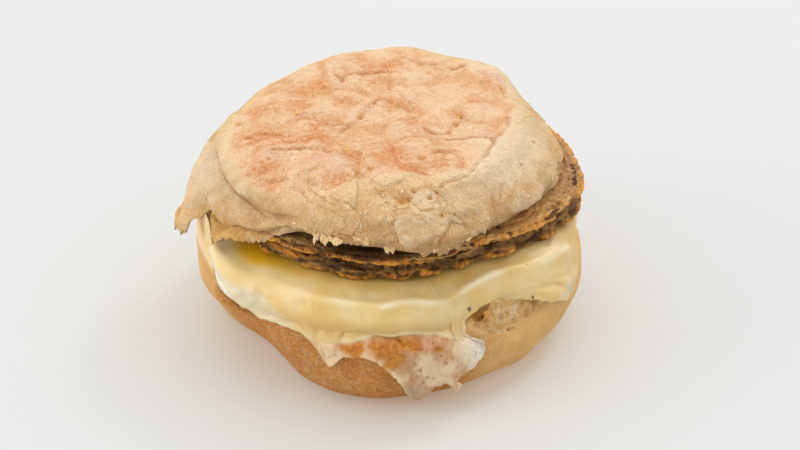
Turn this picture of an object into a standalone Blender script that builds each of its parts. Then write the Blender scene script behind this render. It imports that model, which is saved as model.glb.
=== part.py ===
"""A breakfast sandwich: a split toasted muffin with an egg white patty, melted cheese and a sausage patty.

Run it with blender --background --python part.py, or from Blender's text editor. Blender 4.5, metres, +Z up.
The origin is under the middle of the sandwich, on the surface that it stands on. Angles go round the
sandwich from +X, which is its right side: 90 is the back, 180 the left side and 270 the front.
"""

import bpy
import numpy as np
from mathutils import Matrix, Vector, noise
from mathutils.bvhtree import BVHTree

MM = 0.001
GAP = 0.3  # mm that touching layers keep between them

# How high each layer ends, in mm from the surface that the sandwich stands on.
BASE_TOP = 19.5
EGG_TOP = 29.4
CHEESE_THICK = 2.0
SAUSAGE_BOTTOM = EGG_TOP + CHEESE_THICK + 2 * GAP
SAUSAGE_TOP = 39.4
LID_BOTTOM = SAUSAGE_TOP + GAP
LID_TOP = 54.0

# Where the middle of the sandwich is, measured from the axis that its layers are turned about.
MIDDLE = Vector((-2.35, -0.73, 0)) * MM

# The collection that holds the layers.
COLLECTION = "breakfast_sandwich"


def hermite(t, span, start, start_slope, end, end_slope):
    """A smooth curve from start to end, with these slopes at its ends."""
    return (
        (2 * t**3 - 3 * t**2 + 1) * start
        + (t**3 - 2 * t**2 + t) * span * start_slope
        + (3 * t**2 - 2 * t**3) * end
        + (t**3 - t**2) * span * end_slope
    )


def ring(*stations):
    """A smooth closed curve through (degrees, mm) stations, as a function of angles in radians."""
    degrees, sizes = (np.array(column, float) for column in zip(*sorted(stations)))
    degrees = np.concatenate([degrees[-2:] - 360, degrees, degrees[:2] + 360])
    sizes = np.concatenate([sizes[-2:], sizes, sizes[:2]])
    slopes = np.gradient(sizes, degrees)

    def size_at(theta):
        at = np.degrees(theta) % 360
        i = np.clip(np.searchsorted(degrees, at) - 1, 0, len(degrees) - 2)
        span = degrees[i + 1] - degrees[i]
        t = (at - degrees[i]) / span
        return hermite(t, span, sizes[i], slopes[i], sizes[i + 1], slopes[i + 1])

    return size_at


def ramp(value, low, high):
    """0 below low, 1 above high, and smooth in between."""
    t = np.clip((value - low) / (high - low), 0, 1)
    return t * t * (3 - 2 * t)


def near(theta, degrees, half_width):
    """1 at this angle, falling off smoothly to either side of it."""
    away = (np.degrees(theta) - degrees + 180) % 360 - 180
    return np.exp(-((away / half_width) ** 2))


def lumps(points, size, seed):
    """Smooth random lumps from -1 to 1, about this many mm across."""
    shift = Vector((seed * 7.3, seed * 3.1, seed * 5.7))
    return np.array([noise.noise(Vector(p) / size + shift) for p in points])


# Each shape is a stack of rings, from the middle of its top round its outer side to the middle of its
# bottom. A ring is the rows of faces down to the next ring, its radius and its height.

EGG_RADIUS = ring(
    (0, 45.6), (45, 44.5), (90, 44), (135, 42.6), (165, 41.6), (180, 41.6), (190, 42.2), (197, 44),
    (202, 46), (209, 47.8), (214, 48.8), (220, 47.4), (228, 45.2), (250, 44.6), (271, 45.4),
    (287, 44.6), (299, 41), (308, 40.6), (317, 42.4), (332, 44.8), (347, 45),
)

BASE_RINGS = [
    (1, 0, BASE_TOP),
    (1, 30, BASE_TOP),
    (1, lambda theta: EGG_RADIUS(theta) - 2, BASE_TOP),
    (
        2,
        lambda theta: np.maximum(EGG_RADIUS(theta) + 0.7, 44),
        ring(
            (0, 19.8), (90, 19.8), (150, 20.5), (170, 21.5), (186, 21.5), (196, 20), (205, 19.5),
            (245, 19.5), (300, 19.6),
        ),
    ),
    (
        3,
        ring(
            (0, 47.6), (90, 47), (140, 47), (165, 47.6), (180, 47.8), (190, 46.9), (202, 46),
            (214, 45.4), (225, 45.4), (240, 46), (255, 47), (270, 47.4), (288, 47), (300, 45),
            (318, 44.8), (335, 46.6),
        ),
        ring(
            (0, 20), (60, 19.5), (120, 20), (140, 23), (160, 26), (180, 26.8), (188, 25.6), (196, 22),
            (206, 19), (225, 18.6), (285, 18.6), (300, 18.8), (325, 18.8), (345, 19),
        ),
    ),
    (
        2,
        ring(
            (0, 48.4), (90, 48.4), (172, 48.6), (186, 47.4), (198, 45.4), (212, 43.4), (225, 43.4),
            (240, 45.6), (255, 47.2), (270, 47.8), (288, 47.6), (305, 47), (325, 46.6), (345, 48),
        ),
        13,
    ),
    (
        2,
        ring(
            (0, 45.6), (90, 45.5), (172, 46), (186, 43.4), (203, 39.8), (215, 37.4), (230, 39.4),
            (242, 43), (253, 45.4), (265, 46.2), (273, 45.9), (285, 45), (296, 44.2), (309, 42.6),
            (325, 41.6), (343, 43),
        ),
        5.5,
    ),
    (
        1,
        ring(
            (0, 43.5), (90, 42.5), (172, 43), (184, 41.5), (197, 37.4), (208, 34.6), (225, 35.6),
            (239, 38.8), (251, 41), (264, 41.9), (274, 41.4), (287, 40.6), (298, 39.9), (313, 38.8),
            (331, 38.8), (349, 41),
        ),
        1.2,
    ),
    (
        1,
        ring(
            (0, 40.5), (90, 39.5), (172, 40), (184, 38.5), (197, 35), (208, 32), (225, 32), (239, 35),
            (251, 38), (264, 38.8), (274, 38.4), (287, 37.6), (298, 36.9), (313, 36), (331, 36),
            (349, 38),
        ),
        0,
    ),
    (1, 30, 0),
    (0, 0, 0),
]

EGG_RINGS = [
    (1, 0, EGG_TOP),
    (1, 36, EGG_TOP),
    (1, lambda theta: EGG_RADIUS(theta) - 3, EGG_TOP - 0.4),
    (2, lambda theta: EGG_RADIUS(theta) - 0.6, EGG_TOP - 3),
    (1, EGG_RADIUS, EGG_TOP - 6),
    (1, lambda theta: EGG_RADIUS(theta) - 0.8, BASE_TOP + 1),
    (1, lambda theta: EGG_RADIUS(theta) - 2.4, BASE_TOP + GAP),
    (1, 36, BASE_TOP + GAP),
    (0, 0, BASE_TOP + GAP),
]

SAUSAGE_RADIUS = ring(
    (10, 47), (25, 47), (60, 48), (90, 48), (130, 45), (160, 42), (190, 39), (217, 37), (240, 37.6),
    (260, 38.4), (274, 38.6), (290, 37.8), (305, 37.8), (320, 40), (337, 43.8), (353, 47.2),
)
SAUSAGE_RINGS = [
    (2, 0, SAUSAGE_TOP),
    (2, lambda theta: 0.75 * SAUSAGE_RADIUS(theta), SAUSAGE_TOP),
    (1, lambda theta: SAUSAGE_RADIUS(theta) - 3.2, SAUSAGE_TOP - 0.8),
    (1, lambda theta: SAUSAGE_RADIUS(theta) - 0.9, SAUSAGE_TOP - 0.1),
    (1, SAUSAGE_RADIUS, SAUSAGE_TOP - 1.3),
    (1, lambda theta: SAUSAGE_RADIUS(theta) - 1, SAUSAGE_TOP - 2.3),
    (1, lambda theta: SAUSAGE_RADIUS(theta) - 2.2, SAUSAGE_TOP - 3.2),
    (1, lambda theta: SAUSAGE_RADIUS(theta) - 1.8, SAUSAGE_TOP - 4.4),
    (1, lambda theta: SAUSAGE_RADIUS(theta) - 0.6, SAUSAGE_TOP - 5.5),
    (1, lambda theta: SAUSAGE_RADIUS(theta) - 1.2, SAUSAGE_BOTTOM + 0.6),
    (1, lambda theta: SAUSAGE_RADIUS(theta) - 3.2, SAUSAGE_BOTTOM),
    (1, 28, SAUSAGE_BOTTOM),
    (0, 0, SAUSAGE_BOTTOM),
]

LID_RINGS = [
    (6, 0, LID_TOP),
    (
        3,
        28,
        ring(
            (0, 54), (60, 54), (120, 54), (160, 53), (200, 52.3), (215, 52.3), (235, 53), (270, 53.8),
            (300, 54),
        ),
    ),
    (
        2,
        ring(
            (0, 36.5), (15, 34.6), (35, 35.9), (50, 39.6), (60, 41.4), (75, 42), (92, 42.5),
            (110, 41.3), (136, 38.8), (155, 39.5), (170, 41.5), (188, 42.3), (200, 41.6), (210, 40.2),
            (222, 39.4), (232, 38.8), (245, 37.8), (260, 37), (275, 37.5), (290, 38.5), (305, 36.5),
            (330, 36),
        ),
        ring(
            (0, 52), (60, 52.2), (100, 52.5), (136, 51.5), (155, 50.3), (170, 49.8), (188, 48.4),
            (200, 47.2), (212, 46), (223, 45.5), (232, 46.5), (242, 48.5), (255, 50.5), (270, 51.3),
            (300, 51.8), (330, 52),
        ),
    ),
    (
        2,
        ring(
            (0, 40.2), (18, 38.8), (35, 39.2), (60, 42.5), (92, 43.5), (120, 42.5), (145, 41),
            (158, 41.5), (170, 42.6), (188, 41.8), (202, 40.3), (213, 38.6), (223, 38.3), (231, 37.8),
            (240, 39.5), (255, 40), (270, 40.3), (285, 42), (300, 40.5), (330, 40),
        ),
        ring(
            (0, 49.3), (90, 49.5), (136, 48.5), (155, 48), (170, 48), (188, 46.5), (202, 45),
            (213, 43.2), (221, 42.8), (227, 43.6), (232, 44.8), (240, 46.6), (255, 47.8), (270, 48.5),
            (300, 48.8), (330, 49),
        ),
    ),
    (
        2,
        ring(
            (0, 42.4), (18, 41), (35, 41), (60, 43.5), (92, 44.2), (120, 43.5), (150, 44), (163, 45.2),
            (175, 46), (188, 46.6), (198, 45.8), (207, 45.4), (215, 43.8), (224, 41.8), (231, 39.5),
            (240, 40.5), (255, 41.5), (270, 42.2), (285, 45), (295, 44.3), (305, 42), (330, 41.8),
        ),
        ring(
            (0, 46), (90, 46), (136, 45), (155, 44), (170, 43), (188, 41.5), (198, 41.3), (207, 40.8),
            (215, 40), (221, 40.4), (227, 42), (232, 43.4), (240, 44.6), (255, 45.3), (270, 45.8),
            (300, 46), (330, 46),
        ),
    ),
    (
        2,
        ring(
            (0, 42), (90, 43), (136, 43), (155, 45), (165, 46.3), (176, 46.8), (186, 48), (190, 48.8),
            (194, 46.5), (200, 44.6), (205, 44), (212, 41.8), (221, 40), (231, 38.4), (240, 39.6),
            (255, 40.8), (270, 41.3), (285, 44.3), (294, 43.5), (304, 40.3), (330, 40.7),
        ),
        ring(
            (0, 43.8), (90, 43.5), (136, 42.5), (155, 41.5), (170, 40.2), (183, 38.5), (190, 36.5),
            (196, 38.5), (205, 38.3), (212, 37.8), (221, 38), (227, 40), (232, 42.2), (238, 43.4),
            (255, 43.6), (270, 43.8), (300, 44), (330, 44),
        ),
    ),
    (
        2,
        ring(
            (0, 41.8), (45, 41), (90, 42), (130, 43), (152, 46), (165, 47), (177, 47.6), (183, 48.8),
            (186, 52.2), (190, 53.8), (193, 50.4), (196, 46.4), (204, 47), (211, 47), (216, 44.4),
            (223, 41.8), (229, 39.8), (237, 37.3), (250, 38.6), (267, 39.4), (285, 43), (293, 42),
            (303, 38.4), (313, 37.9), (332, 39), (348, 41.6),
        ),
        ring(
            (0, 42), (90, 42), (130, 41.5), (152, 40), (165, 39), (177, 37), (183, 35), (186, 31.4),
            (190, 30), (193.5, 31), (196, 35.4), (211, 35.8), (221, 36), (226, 38.2), (230, 41.4),
            (234, 42.8), (242, 43.2), (300, 42.9), (330, 42.3),
        ),
    ),
    (
        1,
        ring(
            (0, 39), (90, 40), (136, 41.5), (165, 43.5), (177, 44), (190, 45), (205, 43.5), (215, 41),
            (222, 40), (228, 39), (234, 36), (240, 35.5), (250, 36), (270, 36.5), (285, 39.5),
            (303, 36), (330, 37),
        ),
        LID_BOTTOM,
    ),
    (1, 28, LID_BOTTOM),
    (0, 0, LID_BOTTOM),
]

# Where the raw edge of the dough stands higher than the toasted face, on the right. (x, y) in mm
LID_LEDGE = ((30, 6), (28.5, -4), (25.8, -10.4), (23.5, -15.8), (19.5, -23.6), (11, -27))

# A pocket in the torn crumb of the lower half, in mm.
POCKET = (21.5, -37.5, 19)

# The melted cheese lies on the egg and hangs down to its hem, which is lowest at the ends of its drips.
CHEESE_HEM = ring(
    (0, 27), (40, 26.4), (68, 23), (95, 26.6), (130, 27.4), (190, 27.8), (205, 27.5), (212, 27),
    (217, 25.5), (221, 23.4), (225, 21.6), (229, 20.4), (236, 20), (243, 19.6), (247.5, 18.6),
    (250.5, 15.5), (253, 12.4), (255.5, 15.4), (258.5, 18), (263, 19), (266, 17.6), (269, 14.8),
    (273, 10.4), (276, 4.6), (278.6, 1.3), (280.6, 2.4), (282.2, 6), (284.4, 8), (287, 8.2),
    (288.8, 5.4), (290, 2.2), (290.6, 6), (291.2, 12), (292.4, 19.4), (293.6, 21.2), (295.4, 22.8),
    (302, 24), (311, 23), (320, 21), (325, 19), (329, 17.6), (334, 15.8), (338.5, 15.2), (341, 18),
    (343.5, 22.6), (347, 26), (353, 27),
)
# Its torn corner leans to the right below the notch at 294 degrees. (height in mm, degrees)
CORNER_LEAN = (
    (0, 1), (6, 1), (9.5, 1.2), (12, 2.6), (14, 4.6), (16, 5.6), (17.8, 5.4), (19.4, 2.8), (20.6, 0),
)
# The sheet's columns are closest together round its drips. (column, degrees)
CHEESE_COLUMNS = ((0, 10), (20, 200), (34, 240), (58, 285), (78, 296), (90, 345), (96, 370))
# Its rows: how far out each is on top of the egg, then how far down each is on the way to the hem.
CHEESE_TOP = (0, 22, 38)
CHEESE_SIDE = (0, 0.065, 0.155, 0.26, 0.35, 0.41, 0.5, 0.63, 0.8, 1)
CHEESE_SHOULDER = EGG_TOP - 0.5


def turned(name, profile, steps):
    """A profile of (radius, height) in mm, turned about Z."""
    mesh = bpy.data.meshes.new(name)
    points = [(r * MM, 0, z * MM) for r, z in profile]
    mesh.from_pydata(points, [(i, i + 1) for i in range(len(points) - 1)], [])
    obj = bpy.data.objects.new(name, mesh)
    bpy.data.collections[COLLECTION].objects.link(obj)
    screw = obj.modifiers.new("turn", "SCREW")
    screw.steps = screw.render_steps = steps
    screw.use_merge_vertices = True
    screw.merge_threshold = 0.01 * MM
    graph = bpy.context.evaluated_depsgraph_get()
    obj.data = bpy.data.meshes.new_from_object(obj.evaluated_get(graph))
    obj.data.name = name
    obj.modifiers.clear()
    bpy.data.meshes.remove(mesh)
    return obj


def get_points(obj):
    """The object's vertices in mm, one a row."""
    points = np.empty(len(obj.data.vertices) * 3)
    obj.data.vertices.foreach_get("co", points)
    return points.reshape(-1, 3) / MM


def set_points(obj, points):
    obj.data.vertices.foreach_set("co", (points * MM).ravel())
    obj.data.update()


def crowded(theta, middle, amount):
    """Angles moved towards the one in the middle, where the detail is."""
    return theta - amount * np.sin(theta - np.radians(middle))


def level_slopes(sizes):
    """Slopes down the columns, level at each highest and lowest entry, so that no curve overshoots."""
    steps = np.diff(sizes, axis=0)
    before, after = steps[:-1], steps[1:]
    least = np.minimum(abs(before), abs(after))
    inner = np.clip((before + after) / 2, -2.5 * least, 2.5 * least) * (before * after > 0)
    return np.concatenate([steps[:1], inner, steps[-1:]])


def stacked(name, rings, steps, middle=270, amount=0.35):
    """A turned solid whose rows are then moved to the rings' own radii and heights."""
    rows = [sum(count for count, _, _ in rings[:i]) for i in range(len(rings))]
    last = rows[-1]
    profile = [(0 if row in (0, last) else 20, -row) for row in range(last + 1)]
    obj = turned(name, profile, steps)
    x, y, z = get_points(obj).T
    theta = crowded(np.arctan2(y, x), middle, amount)
    place = np.clip(np.interp(-z, rows, range(len(rows))), 0, len(rows) - 1)
    i = np.minimum(place.astype(int), len(rows) - 2)
    t = place - i
    columns = []
    for part in (1, 2):
        sizes = np.array([
            entry[part](theta) if callable(entry[part]) else np.full(len(theta), float(entry[part]))
            for entry in rings
        ])
        slopes = level_slopes(sizes)
        k = np.arange(len(theta))
        columns.append(hermite(t, 1, sizes[i, k], slopes[i, k], sizes[i + 1, k], slopes[i + 1, k]))
    radius, height = columns
    set_points(obj, np.stack([radius * np.cos(theta), radius * np.sin(theta), height], axis=1))
    return obj


def push(obj, amount, lowest=0, highest=100):
    """Moves each vertex along its normal by amount(points) mm, to between these heights."""
    points = get_points(obj)
    normals = np.empty(len(points) * 3)
    obj.data.vertices.foreach_get("normal", normals)
    points += normals.reshape(-1, 3) * amount(points)[:, None]
    points[:, 2] = np.clip(points[:, 2], lowest, highest)
    set_points(obj, points)


def polar(points):
    x, y, z = points.T
    return np.arctan2(y, x), np.hypot(x, y), z


def dent(points, at, wide, deep):
    """A round dent this wide and deep, in mm."""
    away = np.linalg.norm(points - np.array(at), axis=1)
    return -deep * np.exp(-((2 * away / wide) ** 2))


def ledge(points, line, high, wide):
    """A rise of this height behind a line of (x, y), on its far side from the middle, that fades out."""
    line = np.array(line, float)
    starts, ends = line[:-1], line[1:]
    best = np.full(len(points), np.inf)
    side = np.zeros(len(points))
    for start, end in zip(starts, ends):
        along = end - start
        t = np.clip((points[:, :2] - start) @ along / (along @ along), 0, 1)
        gap = points[:, :2] - (start + t[:, None] * along)
        away = np.hypot(*gap.T)
        outward = np.sign(gap @ start) * away
        side = np.where(away < best, outward, side)
        best = np.minimum(best, away)
    return high * ramp(side, -0.6, 1.2) * (1 - ramp(side, 0.3 * wide, wide))


def relief_of_base(points):
    theta, radius, height = polar(points)
    side = ramp(radius, 40, 44) * ramp(height, 0.5, 3)
    crumb = near(theta, 316, 20) * ramp(height, 15, 17.5)
    return (
        0.5 * side * (1 - crumb) * lumps(points, 9, 1)
        + 0.9 * side * crumb * lumps(points, 4, 7)
        + dent(points, POCKET, 4, 2)
    )


def relief_of_sausage(points):
    theta, radius, height = polar(points)
    rim = ramp(radius, 0.85 * SAUSAGE_RADIUS(theta), 0.95 * SAUSAGE_RADIUS(theta))
    return rim * (0.9 * lumps(points, 5, 2) + 0.5 * lumps(points, 2.5, 4))


def relief_of_lid(points):
    theta, radius, height = polar(points)
    face = ramp(height, 47, 51)
    side = ramp(height, 41.5, 44) * (1 - face)
    return (
        0.9 * face * lumps(points, 10, 3)
        + 0.7 * side * lumps(points, 6, 5)
        + face * ledge(points, LID_LEDGE, 1.2, 9)
    )


def trees_of(objects):
    """Ray trees of these objects."""
    graph = bpy.context.evaluated_depsgraph_get()
    return [BVHTree.FromObject(obj, graph) for obj in objects]


def first_hit(trees, origin, direction):
    """Where a ray first meets one of the trees, or None. In mm."""
    hits = [tree.ray_cast(Vector(origin) * MM, Vector(direction)) for tree in trees]
    hits = [hit for hit in hits if hit[0] is not None]
    return min(hits, key=lambda hit: hit[3])[0] / MM if hits else None


def furthest_out(trees, out, height):
    """How far out the trees reach in this direction, near this height."""
    steps = (-1.4, -0.7, 0, 0.7) if height < 25 else (-0.4, 0, 0.7)
    hits = [first_hit(trees, (out.x * 80, out.y * 80, height + step), -out) for step in steps]
    return max(hit.to_2d().length for hit in hits if hit)


def drape_cheese(trees):
    """A sheet that lies on the egg and hangs down the sides to its hem."""
    rows = len(CHEESE_TOP) + len(CHEESE_SIDE)
    steps = CHEESE_COLUMNS[-1][0]
    cheese = turned("melted_cheese", [(20 if row else 0, -row) for row in range(rows)], steps)
    points = get_points(cheese)
    x, y, z = points.T
    columns = np.degrees(np.arctan2(y, x)) % 360 * steps / 360
    degrees = np.interp(columns, *zip(*CHEESE_COLUMNS))
    hem = CHEESE_HEM(np.radians(degrees))
    row_of = np.round(-z).astype(int)
    for i, row in enumerate(row_of):
        if row < len(CHEESE_TOP):
            out = Vector((np.cos(np.radians(degrees[i])), np.sin(np.radians(degrees[i])), 0))
            radius = CHEESE_TOP[row] / 44 * EGG_RADIUS(np.radians(degrees[i]))
            height = EGG_TOP + GAP
        else:
            share = CHEESE_SIDE[row - len(CHEESE_TOP)]
            height = CHEESE_SHOULDER + (hem[i] - CHEESE_SHOULDER) * share
            near_corner = ramp(degrees[i] % 360, 283, 291.4) * (degrees[i] < 297)
            lean = near_corner * np.interp(height, *zip(*CORNER_LEAN))
            stand_off = 0.3 * lean + near_corner * (1 - ramp(height, 21, 24))
            angle = np.radians(degrees[i] + lean)
            out = Vector((np.cos(angle), np.sin(angle), 0))
            radius = furthest_out(trees, out, min(height, CHEESE_SHOULDER)) + 2 * GAP + stand_off
        points[i] = (out.x * radius, out.y * radius, height)
    set_points(cheese, points)
    weights = cheese.vertex_groups.new(name="thickness")
    for i, point in enumerate(points):
        weights.add([i], 1 - 0.65 * float(ramp(CHEESE_SHOULDER - point[2], 9.2, 11.2)), "REPLACE")
    thick = cheese.modifiers.new("thickness", "SOLIDIFY")
    thick.thickness = CHEESE_THICK * MM
    thick.offset = 1
    thick.vertex_group = weights.name
    return cheese


def material(name, colour, roughness):
    made = bpy.data.materials.new(name)
    made.use_nodes = True
    surface = made.node_tree.nodes["Principled BSDF"]
    surface.inputs["Base Color"].default_value = (*colour, 1)
    surface.inputs["Roughness"].default_value = roughness
    surface.inputs["Metallic"].default_value = 0
    return made


def main():
    for obj in list(bpy.data.objects):
        bpy.data.objects.remove(obj)
    for collection in list(bpy.data.collections):
        bpy.data.collections.remove(collection)
    bpy.context.scene.collection.children.link(bpy.data.collections.new(COLLECTION))
    base = stacked("muffin_bottom", BASE_RINGS, 80)
    push(base, relief_of_base)
    egg = stacked("egg_patty", EGG_RINGS, 44)
    sausage = stacked("sausage_patty", SAUSAGE_RINGS, 86)
    push(sausage, relief_of_sausage, SAUSAGE_BOTTOM, SAUSAGE_TOP)
    lid = stacked("muffin_top", LID_RINGS, 108, 240, 0.4)
    push(lid, relief_of_lid, 29)
    cheese = drape_cheese(trees_of([base, egg]))
    for obj in (base, egg, sausage, lid, cheese):
        obj.data.transform(Matrix.Translation(-MIDDLE))
    looks = {
        base: material("toasted crust", (0.62, 0.40, 0.20), 0.8),
        egg: material("egg white", (0.86, 0.83, 0.72), 0.45),
        cheese: material("melted cheese", (0.86, 0.72, 0.38), 0.35),
        sausage: material("browned sausage", (0.30, 0.20, 0.12), 0.6),
        lid: material("muffin crust", (0.78, 0.60, 0.38), 0.85),
    }
    for obj, look in looks.items():
        obj.data.materials.clear()
        obj.data.materials.append(look)
        obj.data.shade_smooth()


main()
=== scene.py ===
"""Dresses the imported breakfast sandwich: finely modelled, procedurally coloured pieces over its solids.

Every piece is measured in mm from the axis that the sandwich's layers are turned about. Angles go round
that axis in degrees from +X, which is the sandwich's right side: 90 is the back and 270 the front.
"""
import itertools
import math

import bmesh
import bpy
import numpy as np
from bpy.props import FloatProperty, FloatVectorProperty, IntProperty, PointerProperty
from mathutils import Color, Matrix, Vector
from mathutils.bvhtree import BVHTree


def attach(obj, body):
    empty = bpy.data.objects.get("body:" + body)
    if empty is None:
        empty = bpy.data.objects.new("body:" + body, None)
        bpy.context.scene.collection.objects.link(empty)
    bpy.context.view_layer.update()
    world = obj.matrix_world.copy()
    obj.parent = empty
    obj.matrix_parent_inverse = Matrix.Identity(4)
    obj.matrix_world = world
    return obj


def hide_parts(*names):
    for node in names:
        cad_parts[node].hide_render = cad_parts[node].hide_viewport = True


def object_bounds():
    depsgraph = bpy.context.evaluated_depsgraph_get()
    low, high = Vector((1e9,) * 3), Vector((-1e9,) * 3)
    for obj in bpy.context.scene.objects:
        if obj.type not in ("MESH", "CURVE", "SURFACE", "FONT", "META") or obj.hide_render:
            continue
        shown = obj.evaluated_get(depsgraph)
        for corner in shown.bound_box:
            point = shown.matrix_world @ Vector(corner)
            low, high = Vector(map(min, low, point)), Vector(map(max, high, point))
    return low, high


bl_info = {
    "name": "Breakfast sandwich",
    "version": (1, 0, 0),
    "blender": (4, 5, 0),
    "location": "View3D > Sidebar > Sandwich",
    "description": "Builds a breakfast sandwich around its packed solids",
    "category": "Object",
}

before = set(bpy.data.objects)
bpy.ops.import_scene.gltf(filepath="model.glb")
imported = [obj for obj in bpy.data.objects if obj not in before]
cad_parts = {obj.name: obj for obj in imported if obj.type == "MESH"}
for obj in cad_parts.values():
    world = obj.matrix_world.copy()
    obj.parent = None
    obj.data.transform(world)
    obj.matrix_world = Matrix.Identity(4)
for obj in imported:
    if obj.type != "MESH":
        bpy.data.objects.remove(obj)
CAD_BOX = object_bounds()
MM = 0.001
AXIS = np.array((2.35, 0.73, 0.0))  # mm, where the axis of the layers stands
INSIDE = [np.array(corner) / MM - AXIS for corner in CAD_BOX]  # the solids' own box
RNG_SEED = 7
FITTING_ROUNDS = 2
FITTING_STEP = 0.25 * MM  # furthest that a point is moved in a round
EVENING = 0.6  # how far a point goes to the middle of its neighbours in a round
CHEESE_RADIUS = 46  # mm, of the slice
FILM_RADIUS = 48.8  # mm, of the film at its front
PATTY_RADIUS = 38  # mm, of the sausage
LEFT_REACH = 3.2  # mm, that its left end goes further out
CORNMEAL_GRAINS = 8
GRAIN_RISE = 0.22  # how far the middle of a round grain stands out, as a share of its width
SHRED_THICKNESS = 0.24  # mm
FLOOR_REACH = 6  # m, from the sandwich to each edge of the floor
LAMP_TARGET = (0, 0, 0.03)  # m
CAMERA_TARGET = (5.1, 0.73, 24.5)  # mm
VIEW_WIDTH = 0.2  # m across the picture at the sandwich
SENSOR_WIDTH = 36  # mm


# ---- numbers and fields


def linear(red, green, blue):
    """A screen colour of 0 to 255 a channel as a scene-linear one."""
    shares = (value / 255 for value in (red, green, blue))
    return tuple(s / 12.92 if s <= 0.04045 else ((s + 0.055) / 1.055) ** 2.4 for s in shares)


def ramp(value, low, high):
    """0 at low, 1 at high, and smooth in between."""
    t = np.clip((value - low) / (high - low), 0, 1)
    return t * t * (3 - 2 * t)


def around(theta, *stations):
    """The size at each angle, from (degrees, size) stations."""
    degrees, sizes = zip(*stations)
    return np.interp(theta, degrees, sizes, period=360)


def within(value, low, high):
    return (value > low) & (value < high)


def near(theta, degrees, half_width):
    """1 at this angle, falling off smoothly to either side of it."""
    away = (theta - degrees + 180) % 360 - 180
    return np.exp(-((away / half_width) ** 2))


def dip(distance, wide):
    """1 on a line, falling off to nothing about this many mm wide."""
    return np.exp(-((2 * distance / wide) ** 2))


def groove(distance, deep, wide, bank, bank_wide):
    """A groove along a line, with a low bank on each side of it."""
    return bank * dip(distance, bank_wide) - deep * dip(distance, wide)


def draw(cells, seed):
    """A random number from 0 to 1 for each whole-number cell."""
    x, y, z = cells.astype(np.int64).T
    n = (x * 73856093 ^ y * 19349663 ^ z * 83492791 ^ (seed + 11) * 2654435761) & 0x7FFFFFFF
    n = ((n ^ (n >> 13)) * 1274126177) & 0x7FFFFFFF
    return ((n ^ (n >> 16)) & 0xFFFFF) / 0xFFFFF


def lumps(points, size, seed, octaves=1):
    """Smooth random lumps from about -1 to 1, this many mm across, with finer ones on them."""
    total = np.zeros(len(points))
    for octave in range(octaves):
        p = points / size * 2**octave + (seed + octave) * 17.13
        base = np.floor(p)
        t = p - base
        t = t * t * (3 - 2 * t)
        value = np.zeros(len(points))
        for corner in itertools.product((0, 1), repeat=3):
            weight = np.prod(np.where(corner, t, 1 - t), axis=1)
            value += weight * draw(base + corner, seed + octave)
        total += (2 * value - 1) / 2**octave
    return total


def mosaic(points, size, seed):
    """For a mosaic of random tiles this many mm across: mm to the nearest joint, and a number per tile."""
    p = points / size
    base = np.floor(p)
    first = np.full(len(p), 9.0)
    second = np.full(len(p), 9.0)
    tile = np.zeros(len(p))
    for offset in itertools.product((-1, 0, 1), repeat=3):
        cell = base + offset
        spot = np.stack([draw(cell, seed + k) for k in range(3)], axis=1)
        away = np.linalg.norm(cell + spot - p, axis=1)
        closer = away < first
        second = np.where(closer, first, np.minimum(second, away))
        tile = np.where(closer, draw(cell, seed + 3), tile)
        first = np.where(closer, away, first)
    return (second - first) / 2 * size, tile


def ragged(points, *layers):
    """Lumps on lumps, from (mm deep, mm across, seed) or (mm deep, mm across, seed, octaves)."""
    return sum(deep * lumps(points, *how) for deep, *how in layers)


def wobbled(points, amount, size, seed):
    """The points moved about by this many mm, so that what is placed by them comes out uneven."""
    shifts = [lumps(points, size, seed + 5 * k) for k in range(3)]
    return points + amount * np.stack(shifts, axis=1)


def distance_to(points, line):
    """How far each point is from a broken line, in mm."""
    line = np.array(line, float)
    best = np.full(len(points), np.inf)
    for start, end in zip(line[:-1], line[1:]):
        along = end - start
        t = np.clip((points - start) @ along / (along @ along), 0, 1)
        best = np.minimum(best, np.linalg.norm(points - start - t[:, None] * along, axis=1))
    return best


def nearest(points, lines):
    """How far each point is from the nearest of some broken lines, in mm."""
    return np.min([distance_to(points, line) for line in lines], axis=0)


def spots(points, places):
    """1 at each of some places, (x, y, z, width) or (x, y, width) in mm, falling off to nothing around it."""
    away = ((np.linalg.norm(points[:, : len(at)] - np.array(at), axis=1), wide) for *at, wide in places)
    return np.max([dip(distance, wide) for distance, wide in away], axis=0)


def polar(points):
    """The angle in degrees, the distance from the axis and the height of each point."""
    x, y, z = points.T
    return np.degrees(np.arctan2(y, x)) % 360, np.hypot(x, y), z


def from_polar(*stations):
    """(degrees, radius, height) stations as points."""
    return [
        (r * math.cos(math.radians(degrees)), r * math.sin(math.radians(degrees)), z)
        for degrees, r, z in stations
    ]


# ---- surfaces


def in_mm(places):
    """Places in metres as points in mm about the axis."""
    return np.asarray(places) / MM - AXIS


def in_metres(points):
    """Points in mm about the axis as places in metres, kept inside the solids' own box."""
    return (np.clip(points, *INSIDE) + AXIS) * MM


def numbers_of(items, field, width=3, kind=float):
    """One row of numbers for each point or edge of a mesh."""
    values = np.empty(len(items) * width, kind)
    items.foreach_get(field, values)
    return values.reshape(-1, width)


def placed(name, data):
    """A new object in the scene."""
    obj = bpy.data.objects.new(name, data)
    bpy.context.scene.collection.objects.link(obj)
    return obj


def new_object(name, points, faces):
    """A smooth mesh object from points in mm about the axis."""
    mesh = bpy.data.meshes.new(name)
    mesh.from_pydata(in_metres(points).tolist(), [], faces)
    mesh.update()
    mesh.shade_smooth()
    return placed(name, mesh)


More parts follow.
